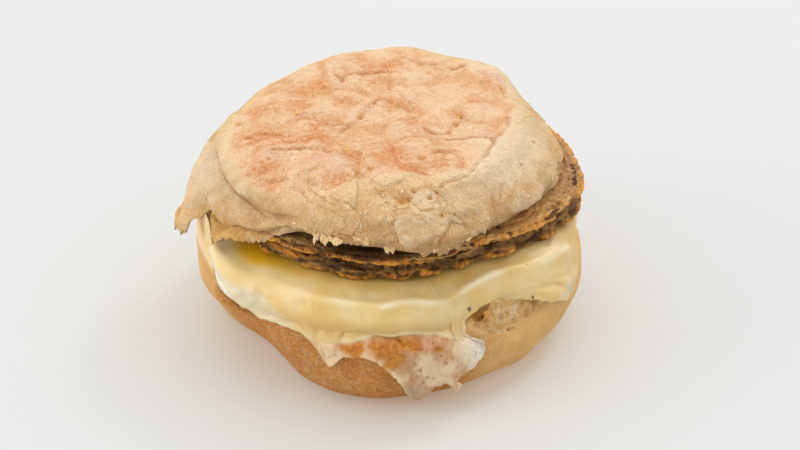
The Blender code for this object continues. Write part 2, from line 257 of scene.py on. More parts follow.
def smoothly_divided(obj, levels):
    """Divides a mesh's faces into smooth smaller ones, which still pass through its own points."""
    finer = obj.modifiers.new("finer", "SUBSURF")
    finer.levels = finer.render_levels = levels
    wanted = numbers_of(obj.data.vertices, "co")
    cage = wanted.copy()
    for _ in range(FITTING_ROUNDS):
        graph = bpy.context.evaluated_depsgraph_get()
        missed = wanted - numbers_of(obj.evaluated_get(graph).data.vertices, "co")[: len(wanted)]
        far = np.linalg.norm(missed, axis=1, keepdims=True)
        cage += missed * np.minimum(1, FITTING_STEP / np.maximum(far, FITTING_STEP / 10))
        obj.data.vertices.foreach_set("co", cage.ravel())
        obj.data.update()
    graph = bpy.context.evaluated_depsgraph_get()
    obj.data = bpy.data.meshes.new_from_object(obj.evaluated_get(graph))
    obj.modifiers.clear()


def in_sectors(points, sectors):
    """Which points are in some sectors: (from degrees, to degrees, least radius, least and most height)."""
    theta, radius, height = polar(points)
    return np.any([
        within((theta - start) % 360, 0, end - start) & (radius > inner) & within(height, low, high)
        for start, end, inner, low, high in sectors
    ], axis=0)


def refined(node, name, levels, sectors=()):
    """A finely divided copy of a solid's surface, finer still in some sectors."""
    work = bmesh.new()
    work.from_mesh(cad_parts[node].data)
    bmesh.ops.remove_doubles(work, verts=work.verts, dist=MM / 1000)
    bmesh.ops.join_triangles(
        work, faces=work.faces, angle_face_threshold=math.pi, angle_shape_threshold=math.pi
    )
    points = in_mm([v.co for v in work.verts])
    faces = [[v.index for v in face.verts] for face in work.faces]
    work.free()
    obj = new_object(name, points, faces)
    smoothly_divided(obj, levels)
    if sectors:
        work = bmesh.new()
        work.from_mesh(obj.data)
        chosen = in_sectors(in_mm([face.calc_center_median() for face in work.faces]), sectors)
        edges = {edge for face, take in zip(work.faces, chosen) if take for edge in face.edges}
        edges = sorted(edges, key=lambda edge: edge.index)
        bmesh.ops.subdivide_edges(work, edges=edges, cuts=1, use_grid_fill=True)
        work.to_mesh(obj.data)
        work.free()
        obj.data.shade_smooth()
    return obj


class Skin:
    """A piece's surface as arrays: its points in mm about the axis, and its normals."""

    theta = property(lambda self: polar(self.points)[0])
    radius = property(lambda self: polar(self.points)[1])
    height = property(lambda self: polar(self.points)[2])

    def __init__(self, obj):
        self.obj = obj
        self.read()

    def read(self):
        self.points = in_mm(numbers_of(self.obj.data.vertices, "co"))
        self.normals = numbers_of(self.obj.data.vertices, "normal")

    def write(self):
        """Puts the points back, inside the solids' own box."""
        self.obj.data.vertices.foreach_set("co", in_metres(self.points).ravel())
        self.obj.data.update()
        self.read()

    def relax(self, share, rounds):
        """Evens the surface out, as strongly as the share of 0 to 1 says at each point."""
        ends = numbers_of(self.obj.data.edges, "vertices", 2, np.int32)
        first, second = ends.T
        count = np.bincount(ends.ravel(), minlength=len(self.points))[:, None]
        for _ in range(rounds):
            total = np.zeros_like(self.points)
            np.add.at(total, first, self.points[second])
            np.add.at(total, second, self.points[first])
            self.points = self.points + EVENING * share[:, None] * (total / count - self.points)
        self.write()

    def lift(self, amount):
        """Moves each point up by this many mm, which the next write keeps."""
        self.points[:, 2] += amount

    def raise_by(self, amount):
        """Moves each point out along its normal by this many mm."""
        self.points = self.points + self.normals * amount[:, None]
        self.write()

    def paint(self, **fields):
        """Keeps these numbers, one for each point, for the materials to read."""
        for name, values in fields.items():
            layer = self.obj.data.attributes.new(name, "FLOAT", "POINT")
            layer.data.foreach_set("value", np.clip(values, 0, 1).astype(np.float32))


# ---- materials


class Nodes:
    """Adds nodes to a tree. Their inputs take an output, a number, a colour or a painted field's name."""

    def __init__(self, tree):
        self.tree = tree

    def feed(self, socket, value):
        """Fills a socket. A tuple for a colour is a screen colour of 0 to 255."""
        if isinstance(value, str):
            value = self.node("ShaderNodeAttribute", attribute_name=value).outputs["Fac"]
        if isinstance(value, bpy.types.NodeSocket):
            self.tree.links.new(value, socket)
        elif socket.type == "RGBA":
            socket.default_value = (*(linear(*value) if isinstance(value, tuple) else value), 1)
        else:
            socket.default_value = value

    def node(self, kind, inputs=None, **settings):
        made = self.tree.nodes.new(kind)
        for name, value in settings.items():
            setattr(made, name, value)
        for key, value in (inputs or {}).items():
            self.feed(made.inputs[key], value)
        return made

    def maths(self, operation, first, second, clamp=False):
        both = {0: first, 1: second}
        return self.node("ShaderNodeMath", both, operation=operation, use_clamp=clamp).outputs[0]

    def times(self, first, second, clamp=False):
        return self.maths("MULTIPLY", first, second, clamp)

    def less(self, first, second):
        return self.maths("SUBTRACT", first, second)

    def plus(self, total, *others):
        for other in others:
            total = self.maths("ADD", total, other)
        return total

    def vectors(self, operation, *values):
        return self.node("ShaderNodeVectorMath", dict(enumerate(values)), operation=operation)


class Finish(Nodes):
    """One procedural material, whose textures are measured in mm."""

    def __init__(self, name):
        self.material = bpy.data.materials.new(name)
        self.material.use_nodes = True
        super().__init__(self.material.node_tree)
        self.tree.nodes.clear()
        self.surface = self.node("ShaderNodeBsdfPrincipled")
        self.node("ShaderNodeOutputMaterial", {"Surface": self.surface.outputs["BSDF"]})
        place = self.node("ShaderNodeTexCoord").outputs["Object"]
        self.mm = self.vectors("MULTIPLY", place, (1 / MM,) * 3).outputs[0]

    def noise(self, size, detail=2.0, roughness=0.5, stretch=(1, 1, 1), twist=0.0):
        """Noise of 0 to 1 with lumps of this size in mm."""
        where = self.node("ShaderNodeMapping", {"Vector": self.mm, "Scale": stretch}).outputs[0]
        grain = {"Scale": 1 / size, "Detail": detail, "Roughness": roughness, "Distortion": twist}
        return self.node("ShaderNodeTexNoise", {"Vector": where, **grain}).outputs["Fac"]

    def cells(self, size, feature="F1", shaken=0.0):
        """Distances in a mosaic with tiles of this size in mm, whose joints wander by the shaken mm."""
        where = self.mm
        if shaken:
            stir = self.node("ShaderNodeTexNoise", {"Vector": where, "Scale": 2 / size, "Detail": 4})
            where = self.vectors("MULTIPLY_ADD", stir.outputs["Color"], (shaken,) * 3, where).outputs[0]
        tiles = {"Vector": where, "Scale": 1 / size}
        return self.node("ShaderNodeTexVoronoi", tiles, feature=feature).outputs["Distance"]

    def between(self, value, low, high):
        """0 where the value is at low, 1 where it is at high, and smooth in between."""
        limits = {"Value": value, "From Min": low, "From Max": high}
        return self.node("ShaderNodeMapRange", limits, interpolation_type="SMOOTHSTEP").outputs["Result"]

    def patchy(self, size, detail, roughness, low, high, twist=0.0):
        """Patches of this size in mm: 0 where their noise is at low and 1 where it is at high."""
        return self.between(self.noise(size, detail, roughness, twist=twist), low, high)

    def mixed(self, share, first, second, mode="MIX"):
        both = {0: share, 6: first, 7: second}
        return self.node("ShaderNodeMix", both, data_type="RGBA", blend_type=mode).outputs[2]

    def tinted(self, tone, *tints):
        """A tone with tints on it, one on another, from (where, strength, colour) or (…, "MULTIPLY")."""
        for where, strength, tint, *mode in tints:
            tone = self.mixed(self.times(where, strength), tone, tint, *mode)
        return tone

    def bumps(self, *layers):
        """Fine relief from (height, mm) layers, one on another."""
        below = {}
        for height, deep in layers:
            made = self.node("ShaderNodeBump", {"Height": height, "Distance": deep * MM, **below})
            below = {"Normal": made.outputs["Normal"]}
        self.feed(self.surface.inputs["Normal"], below["Normal"])

    def look(self, colour, roughness, **others):
        """The surface's colour, roughness and other inputs."""
        for name, value in {"Base_Color": colour, "Roughness": roughness, **others}.items():
            self.feed(self.surface.inputs[name.replace("_", " ")], value)

    def soft(self, share, *mm):
        """Light goes this far into the food, in mm for red, green and blue."""
        for name, value in (("Weight", share), ("Radius", mm), ("Scale", MM)):
            self.surface.inputs[f"Subsurface {name}"].default_value = value


def finish_piece(obj, finish, node=None):
    """Gives a piece its material, hides the solid that it stands for, and says what it rides on."""
    obj.data.materials.clear()
    obj.data.materials.append(finish.material)
    if node is not None:
        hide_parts(node)
    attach(obj, "root")


def build_piece(node, name, shape, finish, levels=2, sectors=()):
    """Models a piece over its solid, with its relief and its material, to stand for the solid."""
    obj = refined(node, name, levels, sectors)
    shape(Skin(obj))
    finish_piece(obj, finish(), node)
    return {"FINISHED"}


# ---- settings


def colour(name, description, *screen):
    """A colour from its screen values of 0 to 255."""
    return FloatVectorProperty(
        name=name, description=description, subtype="COLOR", size=3, min=0, max=1, default=linear(*screen)
    )


def length(name, description, default, low, high):
    """A length from its sizes in mm."""
    return FloatProperty(
        name=name, description=description, unit="LENGTH", default=default * MM, min=low * MM, max=high * MM
    )


class SandwichColours(bpy.types.PropertyGroup):
    """The colours of the food."""

    dough: colour("Dough", "Pale skin of the muffin's side", 245, 211, 158)
    dough_shade: colour("Dough shade", "Darker parts of that skin", 223, 178, 122)
    toast: colour("Toast", "Lightly toasted face", 252, 214, 172)
    toast_dark: colour("Dark toast", "Darkest patches of the face", 232, 156, 96)
    crust: colour("Crust", "Brown crust of the lower half", 196, 126, 53)
    wall: colour("Side wall", "Tan side of the lower half", 238, 196, 132)
    crumb: colour("Crumb", "Torn inside of the muffin", 234, 194, 138)
    flour: colour("Flour", "Dusting of flour and semolina", 252, 238, 212)
    cornmeal: colour("Cornmeal", "Yellow grains of cornmeal", 250, 205, 70)
    cheese: colour("Cheese", "Melted cheese where it is thick", 238, 211, 158)
    cheese_deep: colour("Deep cheese", "Yellower parts of the cheese", 231, 196, 124)
    film: colour("Cheese film", "Whitish clouds in the thin cheese", 245, 208, 168)
    film_thin: colour("Thin film", "Thin cheese that the crust shows through", 207, 150, 104)
    amber: colour("Crust under film", "Crust that shows through clear cheese", 216, 146, 44)
    egg: colour("Egg white", "Cooked egg white", 242, 232, 206)
    meat: colour("Meat", "Grey-brown body of the sausage", 242, 200, 132)
    meat_crisp: colour("Crisp meat", "Fried rims of the sausage", 246, 175, 76)
    # painted shade for the crevices between the sausage's folds
    meat_dark: colour("Dark meat", "Folds of the sausage", 62, 34, 4)
    pepper: colour("Pepper", "Specks of pepper", 108, 94, 76)
    floor: colour("Floor", "The surface that the sandwich stands on", 169, 184, 193)


class SandwichSizes(bpy.types.PropertyGroup):
    """The sizes that shape the fine relief."""

    crack_depth: length("Crack depth", "Depth of the cracks in the muffin's skin", 0.45, 0, 2)
    crumb_pore: length("Crumb pore", "Width of the pores in the torn crumb", 2.2, 0.5, 5)
    meat_fold: length("Meat fold", "Width of the folds round the sausage", 2.5, 1, 8)
    grain_size: length("Grain size", "Width of the largest semolina grains", 0.6, 0.1, 1)
    grain_count: IntProperty(
        name="Grains", description="Number of semolina grains", default=1000, min=0, max=8000
    )
    camera_distance: length("Camera distance", "From the camera to the sandwich", 620, 200, 3000)
    camera_tilt: FloatProperty(
        name="Camera height", description="Angle of the camera above the horizon", unit="ROTATION",
        default=math.radians(31), min=0, max=math.radians(89),
    )


def colours():
    return bpy.context.scene.sandwich_colours


def sizes():
    return bpy.context.scene.sandwich_sizes


# ---- the upper half of the muffin

# Where the toasted face ends: (degrees, mm from the axis).
TOAST_BORDER = (
    (0, 29), (11, 30.6), (25, 33.5), (40, 36.5), (90, 40), (135, 39.5), (160, 37), (175, 38), (190, 39.5),
    (205, 40), (216, 39.6), (223, 38), (234, 35.5), (245, 32.8), (250, 30), (261, 27), (276, 25.3),
    (291, 27), (310, 30.6), (326, 28.3), (338, 27.8), (352, 28.8),
)
# Darker patches of toast: (x, y, width) in mm.
TOAST_PATCHES = (
    (-20, -6.4, 14), (-30.4, 10.2, 9), (-22.7, 16.4, 8), (-22.4, 8.6, 10), (-8.4, 28.2, 12),
    (1.2, 28.8, 9), (-16.7, -19.1, 11), (-12.3, -24, 10), (-27.6, -10.5, 9), (-29.3, -15.9, 9),
    (-36.3, -1.5, 7), (-9.2, -15.5, 9), (-1.6, -14.8, 13), (-17.8, 17.8, 9), (-11.1, 9.2, 9),
    (2.3, 10.3, 11), (7.6, -2.1, 11), (16.5, 3.1, 7), (2.8, -15.1, 13), (10.4, -17.9, 12),
    (21.6, 10.6, 7), (24.9, 21.5, 9), (28.9, 20, 8), (24, -6.1, 8), (28.2, 1.3, 5), (14, 30, 9),
    (-3.5, -20.5, 12), (4.5, -22.5, 9), (-30, -3, 9), (-14, 3, 8), (-2, 20, 9),
)
# The brownest spots of the toast and its palest ones: (x, y, width) in mm.
BROWNEST = (
    (-30, -10.5, 6), (-22, -8.2, 5), (-18, -8.2, 5.5), (-18, -17, 6), (7.4, 4, 7), (-9.2, 27.5, 6),
    (0.6, 30, 5), (23.8, 17.2, 6), (-28, -24, 5),
)
PALEST = (
    (-14, 4.5, 7), (13.5, -11.5, 7), (19, -15.5, 8), (2.4, 13, 6), (-36, 0, 6), (10, -17, 6), (-7, 3, 6),
    (18, 29, 7),
)
# Deep creases between the lobes of dough on the left: (degrees, mm from the axis, height).
UPPER_CREASE = (
    (165, 42.6, 49), (170, 43, 48.5), (187, 42, 47), (194, 41.7, 46), (202, 41, 45), (208, 40, 44),
    (214, 38.9, 43), (223, 38.7, 42), (231, 38, 41.5),
)
LOWER_CREASE = (
    (196, 45.8, 40), (199, 45, 39.5), (204, 44, 38.5), (211, 41.8, 38), (220, 39.9, 37.5), (231, 37.9, 38),
)
# The foot of the step from the toasted face up to the raw edge of the dough.
LEDGE_FOOT = (
    (29.2, 2.8, 54.2), (29, -2, 54), (27.5, -5, 53.8), (25.9, -8.3, 53.7), (24.8, -12.8, 54),
    (20.7, -21.9, 54.2), (18.7, -27, 54.4), (15.4, -29.2, 54.4), (12.1, -31.8, 53.9),
)
# Folds between the blisters of the toasted face, in mm.
FACE_FOLDS = (
    ((-13.1, 24.5, 54.2), (-12, 19.7, 54.5), (-11.1, 22.8, 54.3), (-6.1, 25.7, 53.9), (-1, 25.3, 54.4)),
    ((-2, 12.9, 54.1), (-5.8, 5.4, 54.2), (-9.4, -0.2, 53.9), (-11.5, -5, 53.8)),
    ((-27.3, -10.6, 51.6), (-23.7, -11.4, 52.1), (-19.8, -11.9, 52.7), (-13.8, -13.8, 53.2)),
    ((8.8, -4.8, 54), (11.2, -6, 53.8), (13.6, -5.7, 53.6), (16.1, -1.5, 53.8), (17.9, 3.7, 54)),
    ((2.8, 34.7, 54.1), (6.3, 31.6, 54.2), (12.9, 30.9, 53.7), (17, 28, 53.8), (19.3, 31.8, 53.3)),
    ((13.6, -8.9, 53.7), (19.6, -8.1, 53.6), (24.4, -8.8, 53.7), (26, -11.9, 54)),
    ((-34.9, -3.6, 51.3), (-30.9, -2, 51.8), (-26.4, -3.2, 52.2)),
    ((7.5, -19, 53.9), (11.6, -15.6, 54.2), (16, -14, 54)),
)
# Cracks in the skin, in mm.
CRACKS = (
    ((-31.5, -20, 48.8), (-29.1, -21.4, 49.3), (-25.2, -22.6, 50.8), (-21.3, -23.5, 51.6),
     (-18.4, -25.9, 51.6), (-15.6, -27.5, 52)),
    ((-22.3, -24.8, 51), (-20.3, -28.7, 50), (-18.3, -31.2, 49.8), (-14.5, -34.8, 49.7)),
    ((-18.9, -27.6, 50.9), (-13.6, -33.6, 50.7), (-11, -35.5, 50.4)),
    ((-11.6, -15.4, 53.3), (-10, -20.4, 53.3), (-6.2, -25.2, 53.4), (-5.2, -27.9, 53.3)),
    ((-10.6, -16.4, 53.3), (-6.3, -14.6, 53.3)),
    ((-7.1, -25.1, 53.3), (-4.3, -28.8, 53.3), (-1.9, -33.2, 52.6), (0.4, -36.1, 51.6), (2.8, -37.3, 51.2)),
    ((22.6, -7.1, 53.6), (25.8, -11.3, 54)),
    ((11.6, -33.3, 53.2), (12.5, -37.3, 51.2), (12.9, -38.5, 50.4)),
    ((5.1, -34.3, 52.1), (7.4, -38, 51.1), (11.1, -37.4, 51.3), (15.7, -37.6, 49.8), (18.5, -39.2, 46.4)),
    ((-0.5, -38.5, 50.3), (2.8, -37.3, 51.2), (4.1, -34.3, 52.2), (4.1, -31.8, 52.9)),
    ((24.3, -28.8, 51.1), (24.8, -31.3, 48.8), (25.2, -32.4, 46.7)),
    ((27.3, -25.5, 51.4), (26.2, -29.5, 49.4)),
)
# Small holes where bubbles of dough opened: (x, y, z, width) in mm.
BUBBLES = (
    (-37.1, 3.9, 51.1, 1.8), (3.1, -34.9, 52, 2.2), (4.6, -34.3, 52.2, 1.5), (5.8, -31.6, 53, 1),
    (31.8, -17.7, 51.8, 1), (35.2, -6.9, 52.1, 1), (12.5, -38.8, 50.3, 1.2), (9.7, -34.7, 52.4, 0.9),
    (-9.2, -15.7, 53.3, 1.6), (-7.4, -15, 53.3, 1.4), (-4.4, -22.9, 53.6, 1.2), (-28.5, -13.9, 51.3, 0.8),
)
# How ragged the lower edge is: (degrees, share).
HEM_ROUGHNESS = (
    (195, 0.3), (206, 0.6), (228, 0.8), (236, 0.3), (243, 0.4), (246, 1.3), (256, 1.0), (262, 1.2),
    (272, 1.2), (278, 0.6), (285, 1.0), (296, 1.0), (304, 0.6), (330, 0.4), (360, 0.3),
)
TAB = (190, 12)  # degrees: the middle of the loose tab on the left, and half its width
# How far the tab's underside hangs down: (x, mm).
TAB_DROP = ((-53.2, 0.8), (-52, 1.8), (-51, 2.6), (-50, 3), (-48.6, 3), (-47.6, 0))
HEM_STEP = 2  # degrees, between the places where the hem is looked for
HEM_INNER = 36  # mm from the axis, inside which there is no hem
HEM_WIDTH = 2.6  # mm
NOWHERE = -99  # less than any point's reach


def hem_of(skin):
    """1 on the lowest outer edge of the upper half all the way round, and 0 from 2 mm away from it."""
    theta, radius, height = polar(skin.points)
    slots = (theta / HEM_STEP).astype(int)
    reach = np.where(radius > HEM_INNER, radius - height, NOWHERE)
    order = np.lexsort((reach, slots))
    last = order[np.flatnonzero(np.diff(slots[order], append=-1))]  # the furthest point of each slot
    middles = (slots[last] + 0.5) * HEM_STEP
    out, up = (np.interp(theta, middles, values[last], period=360) for values in (radius, height))
    return dip(np.hypot(radius - out, height - up), HEM_WIDTH)


def shape_top(skin):
    """The relief of the muffin's upper half: blisters, cracks, creases, bubbles and a torn lower edge."""
    points = skin.points
    theta, radius, height = polar(points)
    face = ramp(skin.normals[:, 2], 0.35, 0.8) * ramp(height, 46, 50)
    under = ramp(-skin.normals[:, 2], 0.3, 0.7)
    border = around(theta, *TOAST_BORDER) - radius
    toasted = face * ramp(border + 1.2 * lumps(points, 4, 31), -1.4, 1.4)
    loose = wobbled(points, 0.6, 2.2, 41)
    patches = spots(loose, TOAST_PATCHES)
    patches = patches + 0.55 * (spots(loose, BROWNEST) - spots(loose, PALEST))
    crack_depth = sizes().crack_depth / MM
    cracks = nearest(loose, CRACKS)
    folds = nearest(wobbled(points, 0.8, 3, 42), FACE_FOLDS)
    ledge = distance_to(wobbled(points, 0.4, 2.5, 43), LEDGE_FOOT)
    creased = wobbled(points, 0.3, 5, 47)
    upper = distance_to(creased, from_polar(*UPPER_CREASE))
    lower = distance_to(creased, from_polar(*LOWER_CREASE))
    joints, tile = mosaic(wobbled(points, 2.4, 5, 51), 9, 61)
    small_joints, _ = mosaic(wobbled(points, 0.8, 1.6, 53), 3.1, 71)
    front = near(theta, 276, 32) * ramp(height, 42, 46)
    scaly = (1 - toasted) * (1 - under) * (0.25 + 0.75 * front)
    broken = ramp(lumps(points, 4.5, 57), -0.15, 0.35)
    small_broken = ramp(lumps(points, 3.5, 59), 0.0, 0.4)
    bubbles = spots(points, BUBBLES)
    pillows = np.sqrt(np.abs(lumps(wobbled(points, 1, 5, 37), 8.5, 3)))
    blisters = np.sqrt(np.abs(lumps(wobbled(points, 0.6, 3, 38), 3.6, 4)))
    plates = (0.5 + 0.8 * broken) * (0.35 - 0.7 * np.exp(-joints / 0.35))
    small_plates = 0.3 * small_broken * (0.6 - np.exp(-small_joints / 0.35))
    shoulder = near(theta, 45, 11) * ramp(radius, 30, 38)
    lobe = near(theta, 184, 10) * ramp(height, 34, 38) * ramp(48 - height, 0, 5)
    relief = (
        toasted * (1.3 * (pillows - 0.55) + 0.5 * (blisters - 0.55) + 0.25 * (patches - 0.5))
        + 0.11 * lumps(points, 1.2, 5, 2)
        + 0.35 * (1 + near(theta, 328, 26)) * (1 - face) * (1 - under) * lumps(points, 4.5, 7, 2)
        + (1.8 * shoulder + 1.5 * lobe) * (1 - under)
        + toasted * groove(folds, 0.85, 1.1, 0.3, 4)
        + crack_depth * (1 - under) * groove(cracks, 0.8, 0.8, 0.4, 3.5)
        + scaly * (crack_depth * (plates + small_plates) + 0.6 * (tile - 0.5))
        + groove(ledge, 0.8, 1, 0.25, 3.2)
        + groove(upper, 0.55, 0.7, 0.2, 3)
        + groove(lower, 0.6, 0.7, 0.2, 3)
        - 0.9 * bubbles
    )
    skin.raise_by(relief)
    rough = 2 * np.abs(lumps(points, 1.3, 83, 2)) - 0.5 + 0.5 * lumps(points, 5, 85)
    skin.lift(-hem_of(skin) * np.clip(around(theta, *HEM_ROUGHNESS) * rough, -0.4, 1.9))
    tab = ramp(skin.radius, 46, 49) * near(skin.theta, *TAB) * (1 - ramp(skin.height, 36.5, 42))
    hanging = ramp(skin.radius, 46, 49) * ramp(-skin.normals[:, 2], -0.2, 0.5) * near(theta, *TAB)
    drop = np.interp(skin.points[:, 0], *zip(*TAB_DROP))
    skin.lift(-drop * hanging * ramp(38.2 - skin.height, 0, 2.4))
    torn_tab = tab * (np.abs(lumps(points * (0.3, 1, 0.3), 1.1, 87, 2)) - 0.25)
    skin.lift(2.2 * torn_tab)
    skin.points[:, 0] += torn_tab - 0.7 * tab
    layer_end = near(skin.theta, 205.5, 5) * ramp(skin.radius, 41, 44)
    skin.lift(-4.5 * layer_end * ramp(41.5 - skin.height, 0, 3.5))
    layer = (1 - ramp(skin.height, 37.6, 39.6)) * near(skin.theta, 215, 26) * (1 - tab)
    skin.raise_by(layer * ragged(points, (0.4, 1.3, 89, 2), (0.4, 3.5, 90)))
    # painted light: the upper right shoulder and the lower left side made paler, where light falls most
    # strongly
    pale_right = 1.4 * near(theta, 332, 30) * ramp(height, 48.5, 53)
    pale_left = 0.6 * near(theta, 192, 18) * ramp(height, 38, 44)
    skin.paint(
        toasted=toasted,
        border=face * ramp(border, -6, 0.5),
        patches=patches,
        warm=0.7 * ramp(12 - points[:, 0], 0, 20) + 0.6 * near(theta, 285, 40) * ramp(radius, 8, 16),
        # painted shade along the folds between the blisters
        folded=toasted * dip(folds, 1.2),
        # real cracks and plate joints, with painted shade along the creases between the lobes and at the foot
        # of the ledge
        cracks=np.maximum.reduce([
            0.6 * dip(cracks, 0.8),
            0.4 * scaly * broken * dip(joints, 0.5),
            0.15 * scaly * small_broken * dip(small_joints, 0.6),
            0.5 * dip(ledge, 1),
            0.6 * dip(np.minimum(upper, lower), 0.8),
        ]),
        bubbles=bubbles,
        # painted shade: the hollows of the relief darkened, as shade falls in them
        low=ramp(-relief, 0.05, 0.6),
        # painted highlight: the raised parts of the relief made paler, as light catches them
        high=ramp(relief, 0.05, 0.6),
        tab=tab,
        under=under,
        layer=layer,
        powder=(1 - toasted) * (0.35 + 0.65 * near(theta, 300, 70)),
        # painted light on the upper right shoulder and the left side
        pale=(1 - toasted) * (1 - layer) * (1 - tab) * np.clip(pale_right + pale_left, 0, 1),
        scaly=scaly,
        # painted shade: the lower skin at the front and sides darkened, as less light reaches it
        low_side=ramp(50.5 - height, 0, 6) * (1 - toasted) * near(theta, 295, 72),
    )


def finish_top():
    """Pale floury dough, toasted in patches on the face."""
    c = colours()
    finish = Finish("muffin top")
    times, less, between = finish.times, finish.less, finish.between
    noise, patchy = finish.noise, finish.patchy
    sandy = noise(0.36, 2.5, 0.75)
    fuzz = less(noise(1.3, 5, 0.7), 0.5)
    wrinkles = less(noise(4.6, 3, 0.55, twist=0.7), 0.5)
    creases = between(finish.maths("ABSOLUTE", wrinkles, 0), 0.024, 0.004)
    wrinkled = times(creases, patchy(6, 2, 0.5, 0.44, 0.6))
    brown = finish.plus(
        times("patches", 0.72), times(noise(5.5, 6, 0.62, twist=0.5), 0.95), times("warm", 0.16),
        times(fuzz, 1.7), times(less(sandy, 0.5), 0.9),
    )
    face = finish.tinted(
        finish.mixed(between(brown, 0.5, 1.5), c.toast, c.toast_dark),
        (patchy(2.4, 4, 0.6, 0.53, 0.68, twist=1.4), 0.4, (248, 216, 176)),
        # painted shade along the folds between the blisters
        ("folded", 0.65, (214, 134, 58)),
        # painted highlight along one side of each fine wrinkle, then painted shade in its crease
        (times(between(wrinkles, 0.012, 0.03), between(wrinkles, 0.075, 0.035)), 0.25, (255, 230, 200)),
        (wrinkled, 0.3, (222, 150, 78)),
    )
    skin_tone = finish.tinted(
        finish.mixed(patchy(6, 4, 0.6, 0.3, 0.7), c.dough, c.dough_shade),
        ("border", 0.8, (254, 220, 174)),
        ("under", 1, c.crumb),
        # painted shade on the lower skin at the front and sides
        ("low_side", 0.85, (218, 174, 118)),
        ("layer", 1, finish.mixed(patchy(2.5, 5, 0.7, 0.35, 0.65), (243, 199, 128), (226, 170, 92))),
        (times("tab", patchy(1.2, 5, 0.7, 0.2, 0.5)), 1, (255, 206, 142)),
    )
    edge = between(finish.plus("toasted", times(fuzz, 1.6)), 0.25, 0.85)
    lines = between(finish.cells(4.4, "DISTANCE_TO_EDGE", shaken=1.6), 0.08, 0.0)
    lines = times(times(lines, patchy(4, 2, 0.5, 0.46, 0.6)), "scaly")
    grains = times(between(finish.cells(0.62), 0.3, 0.14), patchy(2.2, 3, 0.5, 0.4, 0.65))
    grains = times(grains, finish.plus("powder", 0.35))
    tone = finish.tinted(
        finish.mixed(edge, skin_tone, face),
        # cracks and joints, with painted shade in the lobe creases and at the foot of the ledge
        ("cracks", 1, (210, 156, 90)),
        (lines, 0.6, (214, 158, 88)),
        ("bubbles", 0.85, (232, 180, 100)),
        # painted shade in the hollows of the relief
        ("low", 0.45, (234, 186, 132), "MULTIPLY"),
        # painted highlight on the raised parts of the relief
        ("high", 0.4, (255, 234, 206)),
        # painted light on the upper right shoulder and the left side
        ("pale", 0.5, (255, 241, 214)),
        (patchy(3, 5, 0.7, 0.35, 0.7), 0.25, (232, 208, 176), "MULTIPLY"),
        (between(sandy, 0.5, 0.72), 0.45, (214, 186, 152), "MULTIPLY"),
        (between(sandy, 0.46, 0.3), 0.4, (255, 238, 210)),
        (grains, 0.65, c.flour),
    )
    finish.look(tone, 0.8, Specular_IOR_Level=0.15)
    finish.bumps(
        (noise(1.6, 5, 0.7), 0.6), (sandy, 0.55), (grains, 0.15), (less(1.0, lines), 0.2),
        (times(less(1.0, wrinkled), "toasted"), 0.06),
    )
    finish.soft(0.08, 1.4, 0.8, 0.4)
    return finish


# ---- the lower half of the muffin

CRUMB_MIDDLE = 316  # degrees, of the torn crumb at the front right
POCKET = (21.6, -38.2, 23.4, 4.8)  # (x, y, z, width) in mm
CUP_CREASE = ((206, 45.5, 22), (200, 46.5, 22), (190, 47.2, 22), (176, 48, 22.4))  # inside the left rim
# The left rim, which stands up beside the cheese: (degrees, height of the solid, height here).
RIM = (
    (150, 27, 27), (165, 26, 29), (180, 27, 32), (188, 25, 34), (194, 22.5, 35.5), (200, 21, 36),
    (202, 20.5, 34), (203.5, 20, 28), (205, 20, 22), (208, 20, 20),
)
RIM_FOOT = 13  # mm, where the rim starts to stand higher


